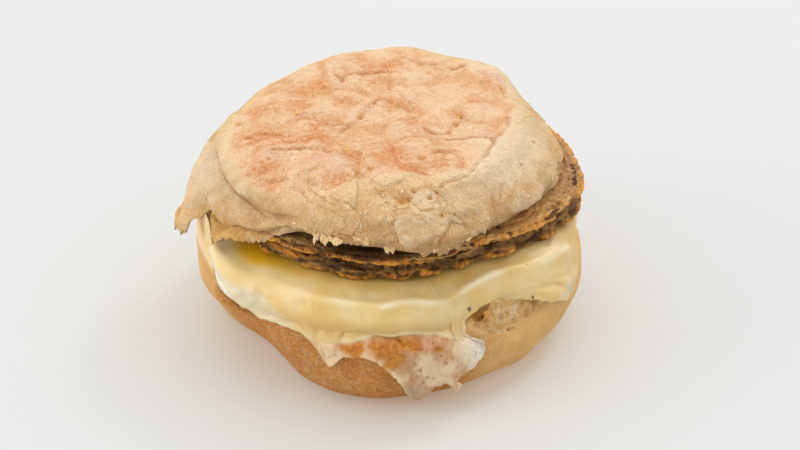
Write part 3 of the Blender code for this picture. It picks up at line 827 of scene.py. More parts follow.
def shape_bottom(skin):
    """The relief of the lower half: a smooth crust, rough torn crumb on the right and a deep pocket in it."""
    theta, radius, height = polar(skin.points)
    lip = np.clip(1.3 * near(theta, 311, 20), 0, 1) * ramp(height, 16.8, 19.6) * ramp(radius, 39, 41)
    lip = lip * (2.8 + 2.4 * ramp(45.2 - radius, 0, 1.8))
    rim_top = around(theta, *((at, old) for at, old, _ in RIM))
    growth = around(theta, *((at, new - old) for at, old, new in RIM))
    growth = growth * np.clip((height - RIM_FOOT) / (rim_top - RIM_FOOT), 0, 1)
    skin.lift(lip + growth * ramp(radius, 40, 44) * within(theta, 149, 215))
    skin.relax(near(theta, 190, 26) * ramp(skin.height, 16, 19), 1)
    points = skin.points
    theta, radius, height = polar(points)
    standing = ramp(height, 0.4, 2)
    lower_edge = 16.6 + 1.6 * lumps(points, 5, 93) + 0.8 * lumps(points, 1.6, 94)
    crumb = near(theta, CRUMB_MIDDLE, 22) * ramp(height, lower_edge, lower_edge + 0.9) * ramp(radius, 30, 38)
    torn = near(theta, 95, 60) * ramp(height, 16.5, 18.2)
    inside = near(theta, 188, 28) * ramp(height + 0.5 * lumps(points, 2, 89), 21.6, 22.6)
    open_crumb = np.maximum.reduce([crumb, 0.7 * torn, 0.15 * inside])
    pore_size = sizes().crumb_pore / MM
    pore, tile = mosaic(wobbled(points, 1.2, 4, 91), pore_size, 95)
    fine_pore, _ = mosaic(points, 0.45 * pore_size, 97)
    pocket = spots(points, (POCKET,))
    skin.raise_by(
        0.12 * standing * lumps(points, 3, 1, 2)
        + 2 * near(theta, 326, 15) * standing * ramp(16 - height, 0, 9)
        + open_crumb * (
            0.7 * lumps(points, 2.2, 99, 2) + 0.7 * (tile - 0.5)
            - 0.7 * ramp(pore, 0.25, 0.9) * (tile > 0.45) - 0.4 * ramp(fine_pore, 0.1, 0.35)
        )
        - 1.1 * pocket
    )
    brown = np.clip(near(theta, 238, 46) + 0.5 * near(theta, 285, 20), 0, 1)
    dusty_front = 1.6 * near(theta, 253, 8) * near(height, 6.5, 7)
    skin.paint(
        brown=brown * (1 - ramp(height, 18.5, 22)),
        crumb=open_crumb,
        # painted shade in the crumb's deep pores
        holes=open_crumb * ramp(pore, 0.3, 0.9) * (tile > 0.45) * (1 - pocket),
        pale_bits=open_crumb * (tile < 0.3),
        pocket=pocket,
        dusting=dusty_front + 0.65 * near(theta, 240, 16) + 0.12 * near(theta, 275, 12),
        rim=inside,
        # painted contact shadow: the lowest mm of the crust darkened where it meets the floor
        foot=ramp(1.5 - height, 0, 1.1),
        # painted light: the crease inside the left rim made near white, against the shade that falls in it
        crease=dip(distance_to(points, from_polar(*CUP_CREASE)), 1.6),
    )


def finish_bottom():
    """Brown crust dusted with flour at the front left, a tan wall on the right and open crumb at its top."""
    c = colours()
    finish = Finish("muffin bottom")
    times, between, noise, patchy = finish.times, finish.between, finish.noise, finish.patchy
    sand = noise(0.4, 3, 0.75)
    wall = finish.mixed(patchy(7, 3, 0.55, 0.3, 0.7), c.wall, (224, 175, 108))
    crust = finish.tinted(
        finish.mixed(patchy(3, 4, 0.6, 0.3, 0.75), c.crust, (213, 154, 86)),
        (patchy(0.8, 3, 0.6, 0.45, 0.7), 0.6, (164, 100, 43)),
    )
    crumb = finish.tinted(
        finish.mixed(patchy(1.4, 4, 0.6, 0.35, 0.7), c.crumb, (206, 158, 84)),
        # painted shade in the crumb's deep pores
        ("holes", 0.7, (160, 112, 44)),
        ("pale_bits", 0.6, (238, 214, 170)),
    )
    dust = times("dusting", patchy(1.8, 5, 0.7, 0.38, 0.66))
    powder = times(between(finish.cells(0.46), 0.42, 0.24), finish.plus(times(dust, 0.95), 0.11), clamp=True)
    tone = finish.tinted(
        finish.mixed(between("brown", 0.15, 0.85), wall, crust),
        (powder, 1, c.flour),
        (between("crumb", 0.2, 0.7), 1, crumb),
        ("pocket", 0.9, (226, 156, 24)),
        ("rim", 1, (254, 222, 170)),
        # painted light over the shaded crease inside the left rim
        ("crease", 0.6, (250, 238, 214)),
        (between(sand, 0.52, 0.74), 0.4, (214, 182, 140), "MULTIPLY"),
        (between(sand, 0.45, 0.28), 0.3, (255, 236, 204)),
        # painted contact shadow along the bottom of the crust
        ("foot", 0.75, (96, 62, 30)),
    )
    finish.look(tone, 0.8, Specular_IOR_Level=0.15)
    finish.bumps((noise(0.9, 5, 0.65), 0.35), (sand, 0.25), (powder, 0.14))
    finish.soft(0.08, 2, 1, 0.5)
    return finish


# ---- the egg and the cheese


def shape_egg(skin):
    """Small folds in the side of the egg."""
    squat = skin.points * (1, 1, 1.6)
    skin.raise_by(0.3 * lumps(squat, 4, 11, 2) * ramp(skin.radius, 36, 39))


def finish_egg():
    """Moist off-white, with a few yellow specks."""
    finish = Finish("egg white")
    tone = finish.tinted(
        finish.mixed(finish.patchy(3, 3, 0.5, 0.35, 0.7), colours().egg, (246, 242, 228)),
        (finish.between(finish.cells(1.9), 0.2, 0.1), 0.5, (240, 205, 110)),
    )
    finish.look(tone, 0.35, Specular_IOR_Level=0.5)
    finish.bumps((finish.noise(0.8, 3), 0.1))
    finish.soft(0.3, 2, 1.6, 1.1)
    return finish


# The ridge where the cheese turns down over the egg: (degrees, mm from the axis, height).
CHEESE_RIDGE = (
    (205, 46.5, 30.6), (216, 47.5, 30), (229, 45.5, 29.6), (240, 44.8, 29.6), (250, 45, 29.4),
    (262, 45.4, 29.6), (268, 45.8, 29.4), (271, 45.4, 29.8), (274, 44.7, 30.3), (279, 44.7, 30.3),
    (283, 45.1, 29.7), (288, 44.8, 29.2), (293, 43.2, 29.5), (302, 41.2, 29.9), (307, 41, 29.9),
    (314, 41.6, 30), (319, 43, 29.5), (327, 45, 29), (338, 46.4, 28.4),
)
# How far the white flap at the right of the film is pulled out: (height, mm).
FLAP_EDGE = (
    (5, 0), (7.3, -1.4), (9, -3.2), (10.6, -3.6), (12, -1.8), (14, -1.6), (17.5, 0.6), (18.5, 0.9),
    (20, -1.2), (21.5, -2), (23, -2),
)
# Small glossy bumps on the cheese, and specks: (x, y, z, width) in mm.
CHEESE_BUMPS = (
    (-31.7, -34.9, 27.5, 1.8), (-0.3, -42.6, 31, 1.7), (-18.1, -42.3, 27.8, 1.2), (-16.6, -42.9, 27.6, 1),
)
PEPPER = ((19.3, -40.1, 25.5, 1.1), (34.7, -30.3, 22.5, 1.1), (32.9, -27.6, 29.7, 0.5))
# Where the slice ends and its thin film begins: (degrees, height).
FILM_TOP = (
    (248, 19.5), (252.5, 20), (256, 20.6), (259.4, 21.1), (263, 22.2), (266.4, 23), (270.5, 23),
    (276, 23.2), (283, 22.5), (288.7, 20.8), (290.5, 20.5), (294, 22.8), (300, 23),
)
# The left edge of the slice, where the egg white shows: (degrees, mm from the axis, height).
WHITE_EDGE = (
    (200, 47.5, 31), (208, 47.5, 29.8), (216, 49, 28), (222, 48.5, 27.4), (230, 47, 27.4), (238, 47, 24),
    (245, 48, 21.5),
)
CHEESE_CORNER = 216  # degrees, where the slice runs in under the lid
FILM_MIDDLE = 272  # degrees, of the film that hangs down at the front
# Crust that shows through the film, cream on it and pores in it: (degrees, height, width in mm).
AMBER_PATCHES = (
    (258.3, 19.5, 3.6), (261, 18.9, 3.6), (262.8, 20.2, 3), (268, 20.2, 5), (271, 19.6, 5.5),
    (272.3, 17.4, 4.6), (270.6, 15.6, 3.6), (274.5, 21, 4.4), (277, 21.2, 3.4), (266.3, 20.9, 2.6),
    (283.8, 19.3, 1.8), (293.6, 22.3, 3),
)
CREAM_PATCHES = (
    (290.5, 3.5, 5), (252.5, 18.5, 5), (254.5, 15, 4), (256.5, 16.6, 3), (259, 17, 2.6), (261.5, 16.9, 2.6),
    (264.2, 18.6, 3.2), (264, 20.2, 2.4), (266, 17.6, 2.8), (268, 15.6, 3), (269.8, 13.6, 3),
    (271.8, 12, 3), (273.6, 11, 3), (280.5, 16, 4.5), (282, 13, 5), (284, 10.6, 5), (287, 9.4, 4),
    (290.5, 7, 3.4), (286.5, 13.5, 3.5), (290.4, 18.6, 4), (293.5, 18, 6), (296, 19, 7), (295.5, 16, 5),
    (294, 21.5, 4),
)
FILM_PORES = (
    (283.8, 19.3, 1.3), (279, 19.8, 0.9), (274.3, 17.6, 0.7), (278.8, 13.6, 0.9), (280.8, 11.4, 0.8),
    (282.5, 11.2, 0.7), (282.4, 20.9, 0.7), (276.3, 20.9, 0.7), (285.9, 15, 0.7), (277.4, 15.7, 0.7),
    (289.2, 9, 0.8), (276, 13.2, 0.6), (284.6, 17.2, 0.6), (279.8, 9.4, 0.8),
)


def patches_at(points, patches):
    """Patches on the front of the cheese, from (degrees, height, width in mm)."""
    theta, _, height = polar(points)
    unrolled = np.stack([np.radians(theta) * FILM_RADIUS, height], axis=1)
    return spots(unrolled, [(math.radians(at) * FILM_RADIUS, z, wide) for at, z, wide in patches])


def shape_cheese(skin):
    """A soft ridge round the slice, dimples, and thin bubbly film below the slab's end."""
    skin.relax(ramp(skin.height, 22.5, 25), 12)
    skin.relax(near(skin.theta, 292, 8) * near(skin.height, 21.5, 4), 60)
    skin.relax(near(skin.theta, 254, 12) * near(skin.height, 21, 3.5), 30)
    skin.relax(near(skin.theta, 228, 28) * ramp(skin.height, 25, 27), 60)
    skin.relax(near(skin.theta, 292, 12) * ramp(skin.height, 26, 28), 25)
    theta, height = skin.theta, skin.height
    torn = ramp(theta, 286, 296) * (theta < 305) * ramp(24 - height, 0, 1.5)
    along = np.stack([-np.sin(np.radians(theta)), np.cos(np.radians(theta)), 0 * theta], axis=1)
    skin.points += (torn * np.interp(height, *zip(*FLAP_EDGE)))[:, None] * along
    skin.relax(near(skin.theta, 296, 7) * near(skin.height, 17, 7), 3)
    skin.relax(near(theta, 291, 6) * near(height, 20.5, 4) * (theta < 295), 90)
    level = skin.points * (0, 0, 1)
    skin.points += (torn * ragged(level, (0.7, 1, 155, 2), (0.7, 2.3, 157)))[:, None] * along
    left_end = near(theta, 206, 8) * ramp(skin.radius, 40, 44)
    skin.points[:, :2] *= (1 + left_end / CHEESE_RADIUS)[:, None]
    skin.lift(-1.6 * near(theta, 204, 6) * ramp(29.5 - height, 0, 2))
    fringe = near(theta, FILM_MIDDLE, 24) * ramp(23 - height, 0, 4)
    skin.lift(-2.1 * near(theta, 262, 4.5) * ramp(22.5 - height, 0, 3.5))
    skin.lift(fringe * ragged(skin.points, (0.35, 1.1, 131, 2), (0.3, 2.6, 133)))
    skin.relax(near(skin.theta, 291, 4) * near(skin.height, 3, 4), 8)
    right_edge = near(theta, 318, 24) * ramp(26 - height, 0, 2.5) * (theta > 298)
    skin.lift(right_edge * ragged(skin.points, (0.5, 2.6, 153), (0.4, 1, 154)))
    white_side = near(theta, 221, 20) * ramp(29 - height, 0, 3)
    skin.lift(white_side * ragged(skin.points, (0.7, 2.6, 135, 2), (0.4, 1, 136)))
    skin.write()
    points = skin.points
    theta, radius, height = polar(points)
    outward = (skin.normals[:, :2] * points[:, :2]).sum(axis=1) / np.maximum(radius, 1) + skin.normals[:, 2]
    outer = ramp(outward, 0.1, 0.5)
    ridge = distance_to(wobbled(points, 0.5, 6, 101), from_polar(*CHEESE_RIDGE))
    below = around(theta, *FILM_TOP) + 0.3 * lumps(points, 2.5, 103) - height  # how far below the slice's end
    film = np.clip(1.7 * near(theta, FILM_MIDDLE, 30), 0, 1) * within(theta, 250, 303)
    film = film * ramp(below, -0.12, 0.3)
    edge = distance_to(wobbled(points, 0.7, 2.5, 137), from_polar(*WHITE_EDGE))
    under_edge = ramp(around(theta, *((at, z) for at, _, z in WHITE_EDGE)) - height, -0.3, 0.9)
    under_edge = under_edge * near(theta, 220, 22)
    pores = patches_at(points, FILM_PORES)
    loose = wobbled(points, 0.9, 2, 143)
    cream = patches_at(loose, CREAM_PATCHES)
    thick_relief = (
        (1 - 0.8 * near(theta, 225, 25)) * (0.5 * dip(ridge, 2.6) - 0.3 * dip(ridge - 2.8, 3.2))
        + 0.7 * lumps(points, 11, 104) * ramp(height, 20, 26)
        + 0.28 * lumps(points, 5, 105, 2)
        + 0.3 * spots(points, CHEESE_BUMPS)
        + 0.15 * dip(edge, 1.4)
        + 0.25 * under_edge * lumps(points, 1.8, 139, 2)
        + 0.2 * dip(below + 0.5, 1.2)
    )
    film_relief = ragged(points, (0.16, 1.2, 107, 2), (0.12, 3, 109)) + 0.3 * cream - 0.5 * pores
    skin.raise_by(outer * ((1 - film) * thick_relief + film * film_relief))
    # painted shade: deep saturated yellow near the sausage, where the lid's shadow falls on the cheese
    hollow_radius = 41 + 4.5 * near(theta, CHEESE_CORNER, 16) + 1.5 * lumps(points, 8, 141)
    skin.paint(
        film=film,
        amber=patches_at(loose, AMBER_PATCHES),
        cream=cream,
        pores=pores,
        clear=near(theta, 277.5, 4.5) * ramp(9.4 - height, 0, 2),
        white_side=under_edge,
        hollow=ramp(hollow_radius - radius, 0, 3.5) * (0.4 + 0.6 * near(theta, CHEESE_CORNER, 18)),
        # painted highlight: pale glossy lines along the ridge
        crest=dip(ridge, 1.7) * (1 - near(theta, 225, 25))
        * ramp(lumps(points, 6, 145) + near(theta, 303, 9), -0.5, 0.3),
        right_end=near(theta, 347, 13),
        # painted light: the slice's left edge under the lid made paler, against the lid's shade there
        pale_edge=near(theta, 206, 11) * ramp(radius, 37, 40),
        # painted shade: the lower part of the front face and the slice's left corner darkened
        low_face=np.maximum(
            ramp(27.5 - height, 0, 4) * near(theta, 270, 30),
            0.5 * near(theta, CHEESE_CORNER, 16) * ramp(radius, 42, 45),
        ),
        flap=near(theta, 296.5, 6) * ramp(23 - height, 0, 1.5) * ramp(height, 11, 14),
        end_line=dip(below + 0.35, 0.9) * near(theta, FILM_MIDDLE, 20),
    )


def finish_cheese():
    """Smooth pale cheese, that turns to a thin whitish film over brown crust at the front."""
    c = colours()
    finish = Finish("melted cheese")
    times, between, noise, patchy = finish.times, finish.between, finish.noise, finish.patchy
    thick = finish.tinted(
        finish.mixed(patchy(9, 2, 0.5, 0.3, 0.7), c.cheese, c.cheese_deep),
        # painted light on the slice's left edge under the lid
        ("pale_edge", 0.9, (255, 240, 190)),
        # painted shade near the sausage, under the lid
        ("hollow", 0.95, (246, 186, 4)),
        # painted shade on the lower front face and the left corner
        ("low_face", 0.9, (204, 168, 102)),
        # painted highlight along the ridge
        ("crest", 0.75, (255, 246, 220)),
        ("white_side", 0.8, (224, 212, 186)),
        ("right_end", 0.6, (204, 172, 110)),
    )
    streaks = noise(1.3, 6, 0.7, stretch=(1, 1, 0.45), twist=0.7)
    cloudy = between(finish.plus(streaks, times("cream", 0.45)), 0.42, 0.8)
    crust = finish.mixed(patchy(0.9, 4, 0.65, 0.35, 0.65), c.amber, (188, 108, 22))
    pinholes = times(between(finish.cells(0.8), 0.3, 0.16), patchy(2.5, 2, 0.5, 0.48, 0.62))
    film = finish.tinted(
        finish.mixed(cloudy, c.film_thin, c.film),
        (between(finish.plus("amber", times(streaks, 1.2)), 0.55, 1.45), 1, crust),
        ("flap", 0.85, (255, 238, 214)),
        ("clear", 0.7, (206, 184, 148)),
        (pinholes, 0.4, (184, 130, 84)),
        ("pores", 0.7, (184, 116, 46)),
    )
    tone = finish.tinted(finish.mixed("film", thick, film), ("end_line", 0.5, (250, 238, 206)))
    finish.look(tone, 0.3, Specular_IOR_Level=0.4)
    finish.bumps((noise(3.2, 2), 0.1), (times(noise(0.5, 3), "film"), 0.2), (noise(0.4, 2), 0.012))
    finish.soft(0.5, 4.5, 3.2, 1.5)
    return finish


# ---- the sausage


def shape_sausage(skin):
    """Curly folds in the rim, between a crisp upper lip and a crisp lower one."""
    left_end = near(skin.theta, 217, 22) * ramp(skin.height, 31.5, 34)
    skin.points[:, :2] *= (1 + LEFT_REACH / PATTY_RADIUS * left_end)[:, None]
    points = skin.points
    theta, radius, height = polar(points)
    fold = sizes().meat_fold / MM
    rim = ramp(radius, 27, 34)
    top = ramp(skin.normals[:, 2], 0.5, 0.9)
    unrolled = np.stack([np.radians(theta) * PATTY_RADIUS, radius, height], axis=1)
    curls = wobbled(unrolled * (0.45, 1, 1), 0.9, 2.2, 121)
    folds = 1 - np.abs(lumps(curls * (1, 1, 1.5), fold, 113, 2))
    fine = 1 - np.abs(lumps(wobbled(unrolled * (0.7, 1, 1.2), 0.4, 1.1, 112), 1.0, 115, 2))
    upper = dip(height - 38.2 - 0.8 * lumps(curls, 3.6, 122), 2.5) * ramp(lumps(points, 4, 127), -0.9, -0.2)
    lower = dip(height - 33.1 - 0.6 * lumps(curls, 3, 123), 2.0) * ramp(lumps(points, 4, 128), -0.7, 0)
    strand = dip(height - 35.8 - 2.4 * lumps(curls, 4.5, 125), 1.5) * ramp(lumps(points, 7, 126), -0.2, 0.25)
    crisp = np.maximum.reduce([upper * (1 - 0.85 * top), lower, strand])
    ridges = (0.9 * (folds - 0.72) + 0.6 * (fine - 0.7)) * (1 - 0.3 * top)
    skin.raise_by(rim * (ridges + 0.8 * crisp * (1 - 0.6 * top) - 0.3 * (1 - crisp) * (1 - top)))
    skin.paint(
        crisp=crisp * rim * (0.45 + 0.75 * ramp(fine + folds, 1.05, 1.7)),
        # painted shade: where this is low, the crevices between the folds are darkened
        folds=ramp(folds + 0.7 * fine + 0.6 * top, 0.8, 1.45),
        shade=ramp(37 - height, 0, 3) * (1 - 0.8 * crisp),
        # painted shadow: near black on the sausage's top and upper lip under the lid's edge
        gap=np.maximum(ramp(height, 37.9, 38.7), top) * near(theta, 262, 34),
        dull=top * near(theta, 8, 34),
        lit=near(theta, 322, 22) * ramp(height, 34, 37),
    )


def finish_sausage():
    """Grey-tan meat with orange-brown crisp lips, painted shade in its folds and under the lid, and a little
    painted light at the front right.
    """
    c = colours()
    finish = Finish("browned sausage")
    grain = finish.noise(1.1, 5, 0.7)
    meat = finish.mixed(finish.between(grain, 0.35, 0.65), (178, 140, 82), c.meat)
    crisp = finish.mixed(finish.patchy(0.8, 4, 0.65, 0.35, 0.65), (202, 122, 40), c.meat_crisp)
    speckle = finish.times(finish.less(finish.noise(1.5, 5, 0.7), 0.5), 1.1)
    tone = finish.tinted(
        finish.mixed(finish.between(finish.plus("crisp", speckle), 0.22, 0.62), meat, crisp),
        ("shade", 0.85, (98, 60, 10)),
        # painted shadow under the lid's edge
        ("gap", 0.9, (50, 27, 6)),
        ("dull", 1, (212, 196, 198), "MULTIPLY"),
        ("lit", 0.35, (244, 182, 112)),
        # painted shade in the crevices between the folds
        (finish.less(1.0, "folds"), 0.88, c.meat_dark),
    )
    finish.look(tone, 0.5, Specular_IOR_Level=0.18)
    finish.bumps((grain, 0.35), (finish.noise(0.35, 3, 0.6), 0.14))
    finish.soft(0.05, 1.5, 0.7, 0.4)
    return finish


# ---- small things


def ball(subdivisions=1):
    """The points and triangles of a ball of triangles."""
    work = bmesh.new()
    bmesh.ops.create_icosphere(work, subdivisions=subdivisions, radius=1)
    points = np.array([v.co for v in work.verts])
    faces = np.array([[v.index for v in face.verts] for face in work.faces])
    work.free()
    return points, faces


def scattered(name, places, normals, widths, flatness, rng):
    """One mesh of small uneven grains that sit on a surface."""
    shape, faces = ball()
    count = len(places)
    widths, normals = widths[:, None, None], normals[:, None]
    uneven = 1 + 0.3 * rng.standard_normal((count, len(shape), 1)).clip(-1, 1)
    offsets = shape[None] * uneven * rng.uniform(0.65, 1.25, (count, 1, 3)) * widths / 2
    along = (offsets * normals).sum(axis=2, keepdims=True)
    sunk = normals * (GRAIN_RISE * flatness * widths - (1 - flatness) * along)
    every = faces[None] + (np.arange(count) * len(shape))[:, None, None]
    points = places[:, None] + sunk + offsets
    return new_object(name, points.reshape(-1, 3), every.reshape(-1, 3).tolist())


# Shreds of dough along the torn lower edge of the upper half: (degrees, mm from the axis, height of the
# root, width, length).
SHREDS = (
    (244.8, 40.4, 44, 2.2, 3), (246.3, 41, 44.4, 1.4, 1.6), (249, 41.1, 44.2, 2.8, 2.8),
    (251, 41.2, 44.4, 1.6, 1.2), (253.4, 41.4, 44.4, 3.6, 1.9), (260.2, 41.7, 45.2, 3.2, 1.8),
    (262.8, 41.6, 45.2, 2.2, 2), (269.8, 40.2, 42.6, 3, 2.2), (271.4, 40.6, 42.8, 2, 1.8),
    (284.8, 42.9, 43, 3, 1.4), (295.8, 43.5, 44.6, 2.6, 1.6),
)


def torn_shreds(rng):
    """One mesh of thin ragged flakes that hang from the lid's torn edge."""
    shape, faces = ball(4)
    taper = np.ones_like(shape)
    taper[:, 0] = 0.65 + 0.35 * shape[:, 2]
    points = []
    for degrees, radius, height, width, length in SHREDS:
        edge = lumps(shape * (width, 0, length) / 2 + rng.uniform(0, 50, 3), 0.8, 5, 2)
        flake = shape * (width / 2, SHRED_THICKNESS / 2, length / 1.8) * (1 + 0.45 * edge)[:, None] * taper
        turn = math.radians(degrees + rng.uniform(-20, 20))
        curl = 0.25 * lumps(flake + rng.uniform(0, 50, 3), 1.5, 6)
        lean = curl + rng.uniform(-0.2, 0.3) * (flake[:, 2] - length / 2)
        along, out = (-math.sin(turn), math.cos(turn), 0), (math.cos(turn), math.sin(turn), 0)
        axes = np.array((along, out, (0, 0, 1)))
        flake[:, 1] += lean
        points.append(flake @ axes + from_polar((degrees, radius, height - length / 4)))
    every = faces[None] + (np.arange(len(SHREDS)) * len(shape))[:, None, None]
    return new_object("torn_shreds", np.concatenate(points), every.reshape(-1, 3).tolist())


def on_surface(obj, count, density, rng):
    """Random places on a piece, in mm, as dense as density(points, normals) says, with their normals."""
    mesh = obj.data
    mesh.calc_loop_triangles()
    corners = numbers_of(mesh.loop_triangles, "vertices", 3, np.int32)
    a, b, c = np.moveaxis(in_mm(numbers_of(mesh.vertices, "co"))[corners], 1, 0)
    normal = np.cross(b - a, c - a)
    area = np.linalg.norm(normal, axis=1)
    normal = normal / np.maximum(area, 1e-12)[:, None]
    weight = area * density((a + b + c) / 3, normal)
    chosen = rng.choice(len(weight), size=count, p=weight / weight.sum())
    u, v = rng.random((2, count, 1))
    over = u + v > 1
    u, v = np.where(over, 1 - u, u), np.where(over, 1 - v, v)
    places = a[chosen] * (1 - u - v) + b[chosen] * u + c[chosen] * v
    return places, normal[chosen]


def on_skin(points, normals):
    """Where semolina lies: all over the lid's skin, and thinly on its toasted face."""
    theta, radius, height = polar(points)
    skin = ramp(radius - around(theta, *TOAST_BORDER), -3, 1)
    patchy = np.clip(0.5 + 1.3 * lumps(points, 7, 201), 0.02, 2)
    return (0.1 + skin) * patchy * ramp(height, 38, 42) * ramp(normals[:, 2], -0.4, 0.1)


def on_face(points, normals):
    """Where cornmeal lies: on the lid's toasted face."""
    return ramp(points[:, 2], 49, 52) * ramp(normals[:, 2], 0.4, 0.8)


def on_cheese(places):
    """The places on the cheese that are nearest to these, and their normals."""
    tree = BVHTree.FromObject(bpy.data.objects["melted_cheese_slice"], bpy.context.evaluated_depsgraph_get())
    found = [tree.find_nearest(Vector(place)) for place in in_metres(places)]
    return in_mm([hit[0] for hit in found]), np.array([hit[1] for hit in found])


def finish_shreds():
    """Pale dough, like the edge that the shreds hang from."""
    c = colours()
    finish = Finish("torn dough")
    tone = finish.mixed(finish.patchy(0.8, 4, 0.6, 0.35, 0.65), c.dough_shade, c.dough)
    finish.look(tone, 0.8, Specular_IOR_Level=0.2)
    finish.bumps((finish.noise(0.6, 3), 0.15))
    finish.soft(0.2, 1, 0.7, 0.4)
    return finish


def finish_grains(name, size, detail, first, second, roughness):
    """Grains of two tones."""
    finish = Finish(name)
    finish.look(finish.mixed(finish.noise(size, detail), first, second), roughness)
    return finish


# ---- operators


# Where the pieces are seen closest and need the smallest faces, as in_sectors takes them.
TOP_CLOSE = ((185, 350, 24, 40.5, 60), (196, 325, 37, 36, 60), (172, 202, 45.5, 0, 60))
BOTTOM_CLOSE = ((165, 350, 36, 1.5, 60),)
CHEESE_CLOSE = ((246, 301, 0, -1, 24),)
SAUSAGE_CLOSE = ((200, 420, 30, 0, 60),)


class SANDWICH_OT_muffin_top(bpy.types.Operator):
    """Builds the upper half of the muffin"""

    bl_idname = "sandwich.muffin_top"
    bl_label = "Upper half of the muffin"

    def execute(self, context):
        return build_piece("muffin_top", "toasted_muffin_top", shape_top, finish_top, sectors=TOP_CLOSE)


class SANDWICH_OT_muffin_bottom(bpy.types.Operator):
    """Builds the lower half of the muffin"""

    bl_idname = "sandwich.muffin_bottom"
    bl_label = "Lower half of the muffin"

    def execute(self, context):
        return build_piece(
            "muffin_bottom", "crusty_muffin_bottom", shape_bottom, finish_bottom, sectors=BOTTOM_CLOSE
        )


class SANDWICH_OT_egg(bpy.types.Operator):
    """Builds the egg patty"""

    bl_idname = "sandwich.egg"
    bl_label = "Egg patty"

    def execute(self, context):
        return build_piece("egg_patty", "cooked_egg_patty", shape_egg, finish_egg, levels=3)


class SANDWICH_OT_cheese(bpy.types.Operator):
    """Builds the melted cheese"""

    bl_idname = "sandwich.cheese"
    bl_label = "Melted cheese"

    def execute(self, context):
        return build_piece(
            "melted_cheese", "melted_cheese_slice", shape_cheese, finish_cheese, sectors=CHEESE_CLOSE
        )


class SANDWICH_OT_sausage(bpy.types.Operator):
    """Builds the sausage patty"""

    bl_idname = "sandwich.sausage"
    bl_label = "Sausage patty"

    def execute(self, context):
        return build_piece(
            "sausage_patty", "browned_sausage_patty", shape_sausage, finish_sausage, sectors=SAUSAGE_CLOSE
        )


class SANDWICH_OT_grains(bpy.types.Operator):
    """Scatters semolina, cornmeal and pepper, and hangs shreds of dough"""

    bl_idname = "sandwich.grains"
    bl_label = "Grains, specks and shreds"

    def execute(self, context):
        rng = np.random.default_rng(RNG_SEED)
        c, s = colours(), sizes()
        top = bpy.data.objects["toasted_muffin_top"]

        places, normals = on_surface(top, s.grain_count, on_skin, rng)
        widths = s.grain_size / MM * rng.uniform(0.45, 1.0, s.grain_count) ** 2.5
        grains = scattered("semolina_grains", places, normals, widths, 0.8, rng)
        finish = finish_grains("semolina", 0.6, 1, (252, 236, 204), (246, 222, 178), 0.95)
        finish.surface.inputs["Specular IOR Level"].default_value = 0
        finish.soft(0.3, 0.6, 0.5, 0.4)
        finish_piece(grains, finish)

        finish_piece(torn_shreds(rng), finish_shreds())

        places, normals = on_surface(top, CORNMEAL_GRAINS, on_face, rng)
        widths = rng.uniform(0.5, 1.0, CORNMEAL_GRAINS)
        grains = scattered("cornmeal_grains", places, normals, widths, 0.7, rng)
        finish = finish_grains("cornmeal", 0.6, 1, c.cornmeal, (255, 224, 120), 0.5)
        finish_piece(grains, finish)

        pepper = np.array(PEPPER)
        specks = scattered("pepper_specks", *on_cheese(pepper[:, :3]), pepper[:, 3], 0.5, rng)
        finish = finish_grains("pepper", 0.4, 2, c.pepper, (140, 128, 106), 0.6)
        finish_piece(specks, finish)
        return {"FINISHED"}


def aimed(obj, place, target):
    """Stands a light or a camera at its place, and turns it to the target."""
    obj.location = place
    obj.rotation_mode = "QUATERNION"
    obj.rotation_quaternion = (Vector(target) - Vector(place)).to_track_quat("-Z", "Y")


def lit_all_round():
    """A world that is brightest above and at the back, and a little brighter at the sides than in front."""
    world = bpy.data.worlds.new("soft studio")
    world.use_nodes = True
    sky = Nodes(world.node_tree)
    direction = sky.node("ShaderNodeTexCoord").outputs["Generated"]
    either_way = sky.vectors("ABSOLUTE", direction).outputs[0]
    height = sky.vectors("DOT_PRODUCT", direction, (-0.1, 0.25, 0.9)).outputs["Value"]
    flank = sky.vectors("DOT_PRODUCT", either_way, (0.35, 0, 0)).outputs["Value"]
    limits = {"From Min": -0.3, "From Max": 1.0, "To Min": 0.4, "To Max": 1.13}
    brightness = sky.node("ShaderNodeMapRange", {"Value": sky.plus(height, flank), **limits})
    background = world.node_tree.nodes["Background"]
    sky.feed(background.inputs["Color"], (255, 255, 255))
    sky.feed(background.inputs["Strength"], brightness.outputs["Result"])
    return world


# (name, place in m, width in m, watts, tint)
LIGHTS = (
    ("overhead light", (0.1, 0.2, 0.92), 1.1, 1.4, (1, 0.99, 0.975)),
    ("key light", (0.5, 0.45, 0.85), 0.3, 2.0, (1, 0.98, 0.95)),
    ("left card", (-0.78, -0.22, 0.32), 0.5, 1.8, (1, 0.965, 0.89)),
)


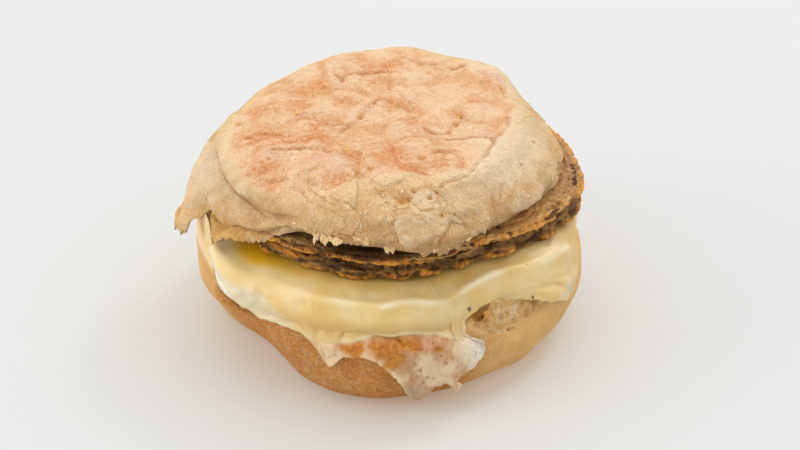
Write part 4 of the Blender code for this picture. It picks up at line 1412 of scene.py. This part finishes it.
class SANDWICH_OT_stage(bpy.types.Operator):
    """Makes the floor, the light and the camera"""

    bl_idname = "sandwich.stage"
    bl_label = "Stage"

    def execute(self, context):
        scene = context.scene
        c, s = colours(), sizes()
        mesh = bpy.data.meshes.new("floor")
        corners = [(x * FLOOR_REACH, y * FLOOR_REACH, 0) for x, y in ((-1, -1), (1, -1), (1, 1), (-1, 1))]
        mesh.from_pydata(corners, [], [(0, 1, 2, 3)])
        floor = placed("floor", mesh)
        finish = Finish("pale floor")
        glow = {"Emission_Color": Color((1.0, 0.68, 0.44)), "Emission_Strength": 0.31}
        finish.look(c.floor, 0.75, Specular_IOR_Level=0.2, **glow)
        floor.data.materials.append(finish.material)

        scene.world = lit_all_round()
        for name, place, width, power, tint in LIGHTS:
            light = bpy.data.lights.new(name, "AREA")
            light.shape = "DISK"
            light.size = width
            light.energy = power
            light.color = tint
            aimed(placed(name, light), place, LAMP_TARGET)

        lens = bpy.data.cameras.new("camera")
        lens.sensor_width = SENSOR_WIDTH
        lens.lens = SENSOR_WIDTH * s.camera_distance / VIEW_WIDTH
        lens.clip_start = 0.01
        lens.clip_end = 50
        target = Vector(CAMERA_TARGET) * MM
        back = Vector((0, -math.cos(s.camera_tilt), math.sin(s.camera_tilt)))
        scene.camera = placed("camera", lens)
        aimed(scene.camera, target + back * s.camera_distance, target)
        scene.view_settings.view_transform = "Standard"
        return {"FINISHED"}


OPERATORS = (
    SANDWICH_OT_muffin_bottom,
    SANDWICH_OT_egg,
    SANDWICH_OT_cheese,
    SANDWICH_OT_sausage,
    SANDWICH_OT_muffin_top,
    SANDWICH_OT_grains,
    SANDWICH_OT_stage,
)


class SANDWICH_PT_build(bpy.types.Panel):
    """Lists what builds the sandwich"""

    bl_idname = "SANDWICH_PT_build"
    bl_label = "Breakfast sandwich"
    bl_space_type = "VIEW_3D"
    bl_region_type = "UI"
    bl_category = "Sandwich"

    def draw(self, context):
        for operator in OPERATORS:
            self.layout.operator(operator.bl_idname)
        for group in (context.scene.sandwich_colours, context.scene.sandwich_sizes):
            box = self.layout.box()
            for name in group.bl_rna.properties.keys():
                if name not in {"rna_type", "name"}:
                    box.prop(group, name)


CLASSES = (SandwichColours, SandwichSizes, *OPERATORS, SANDWICH_PT_build)


def register():
    for cls in CLASSES:
        bpy.utils.register_class(cls)
    bpy.types.Scene.sandwich_colours = PointerProperty(type=SandwichColours)
    bpy.types.Scene.sandwich_sizes = PointerProperty(type=SandwichSizes)


def unregister():
    del bpy.types.Scene.sandwich_sizes
    del bpy.types.Scene.sandwich_colours
    for cls in reversed(CLASSES):
        bpy.utils.unregister_class(cls)


def main():
    register()
    for operator in OPERATORS:
        module, name = operator.bl_idname.split(".")
        getattr(getattr(bpy.ops, module), name)()


if __name__ == "__main__":
    main()
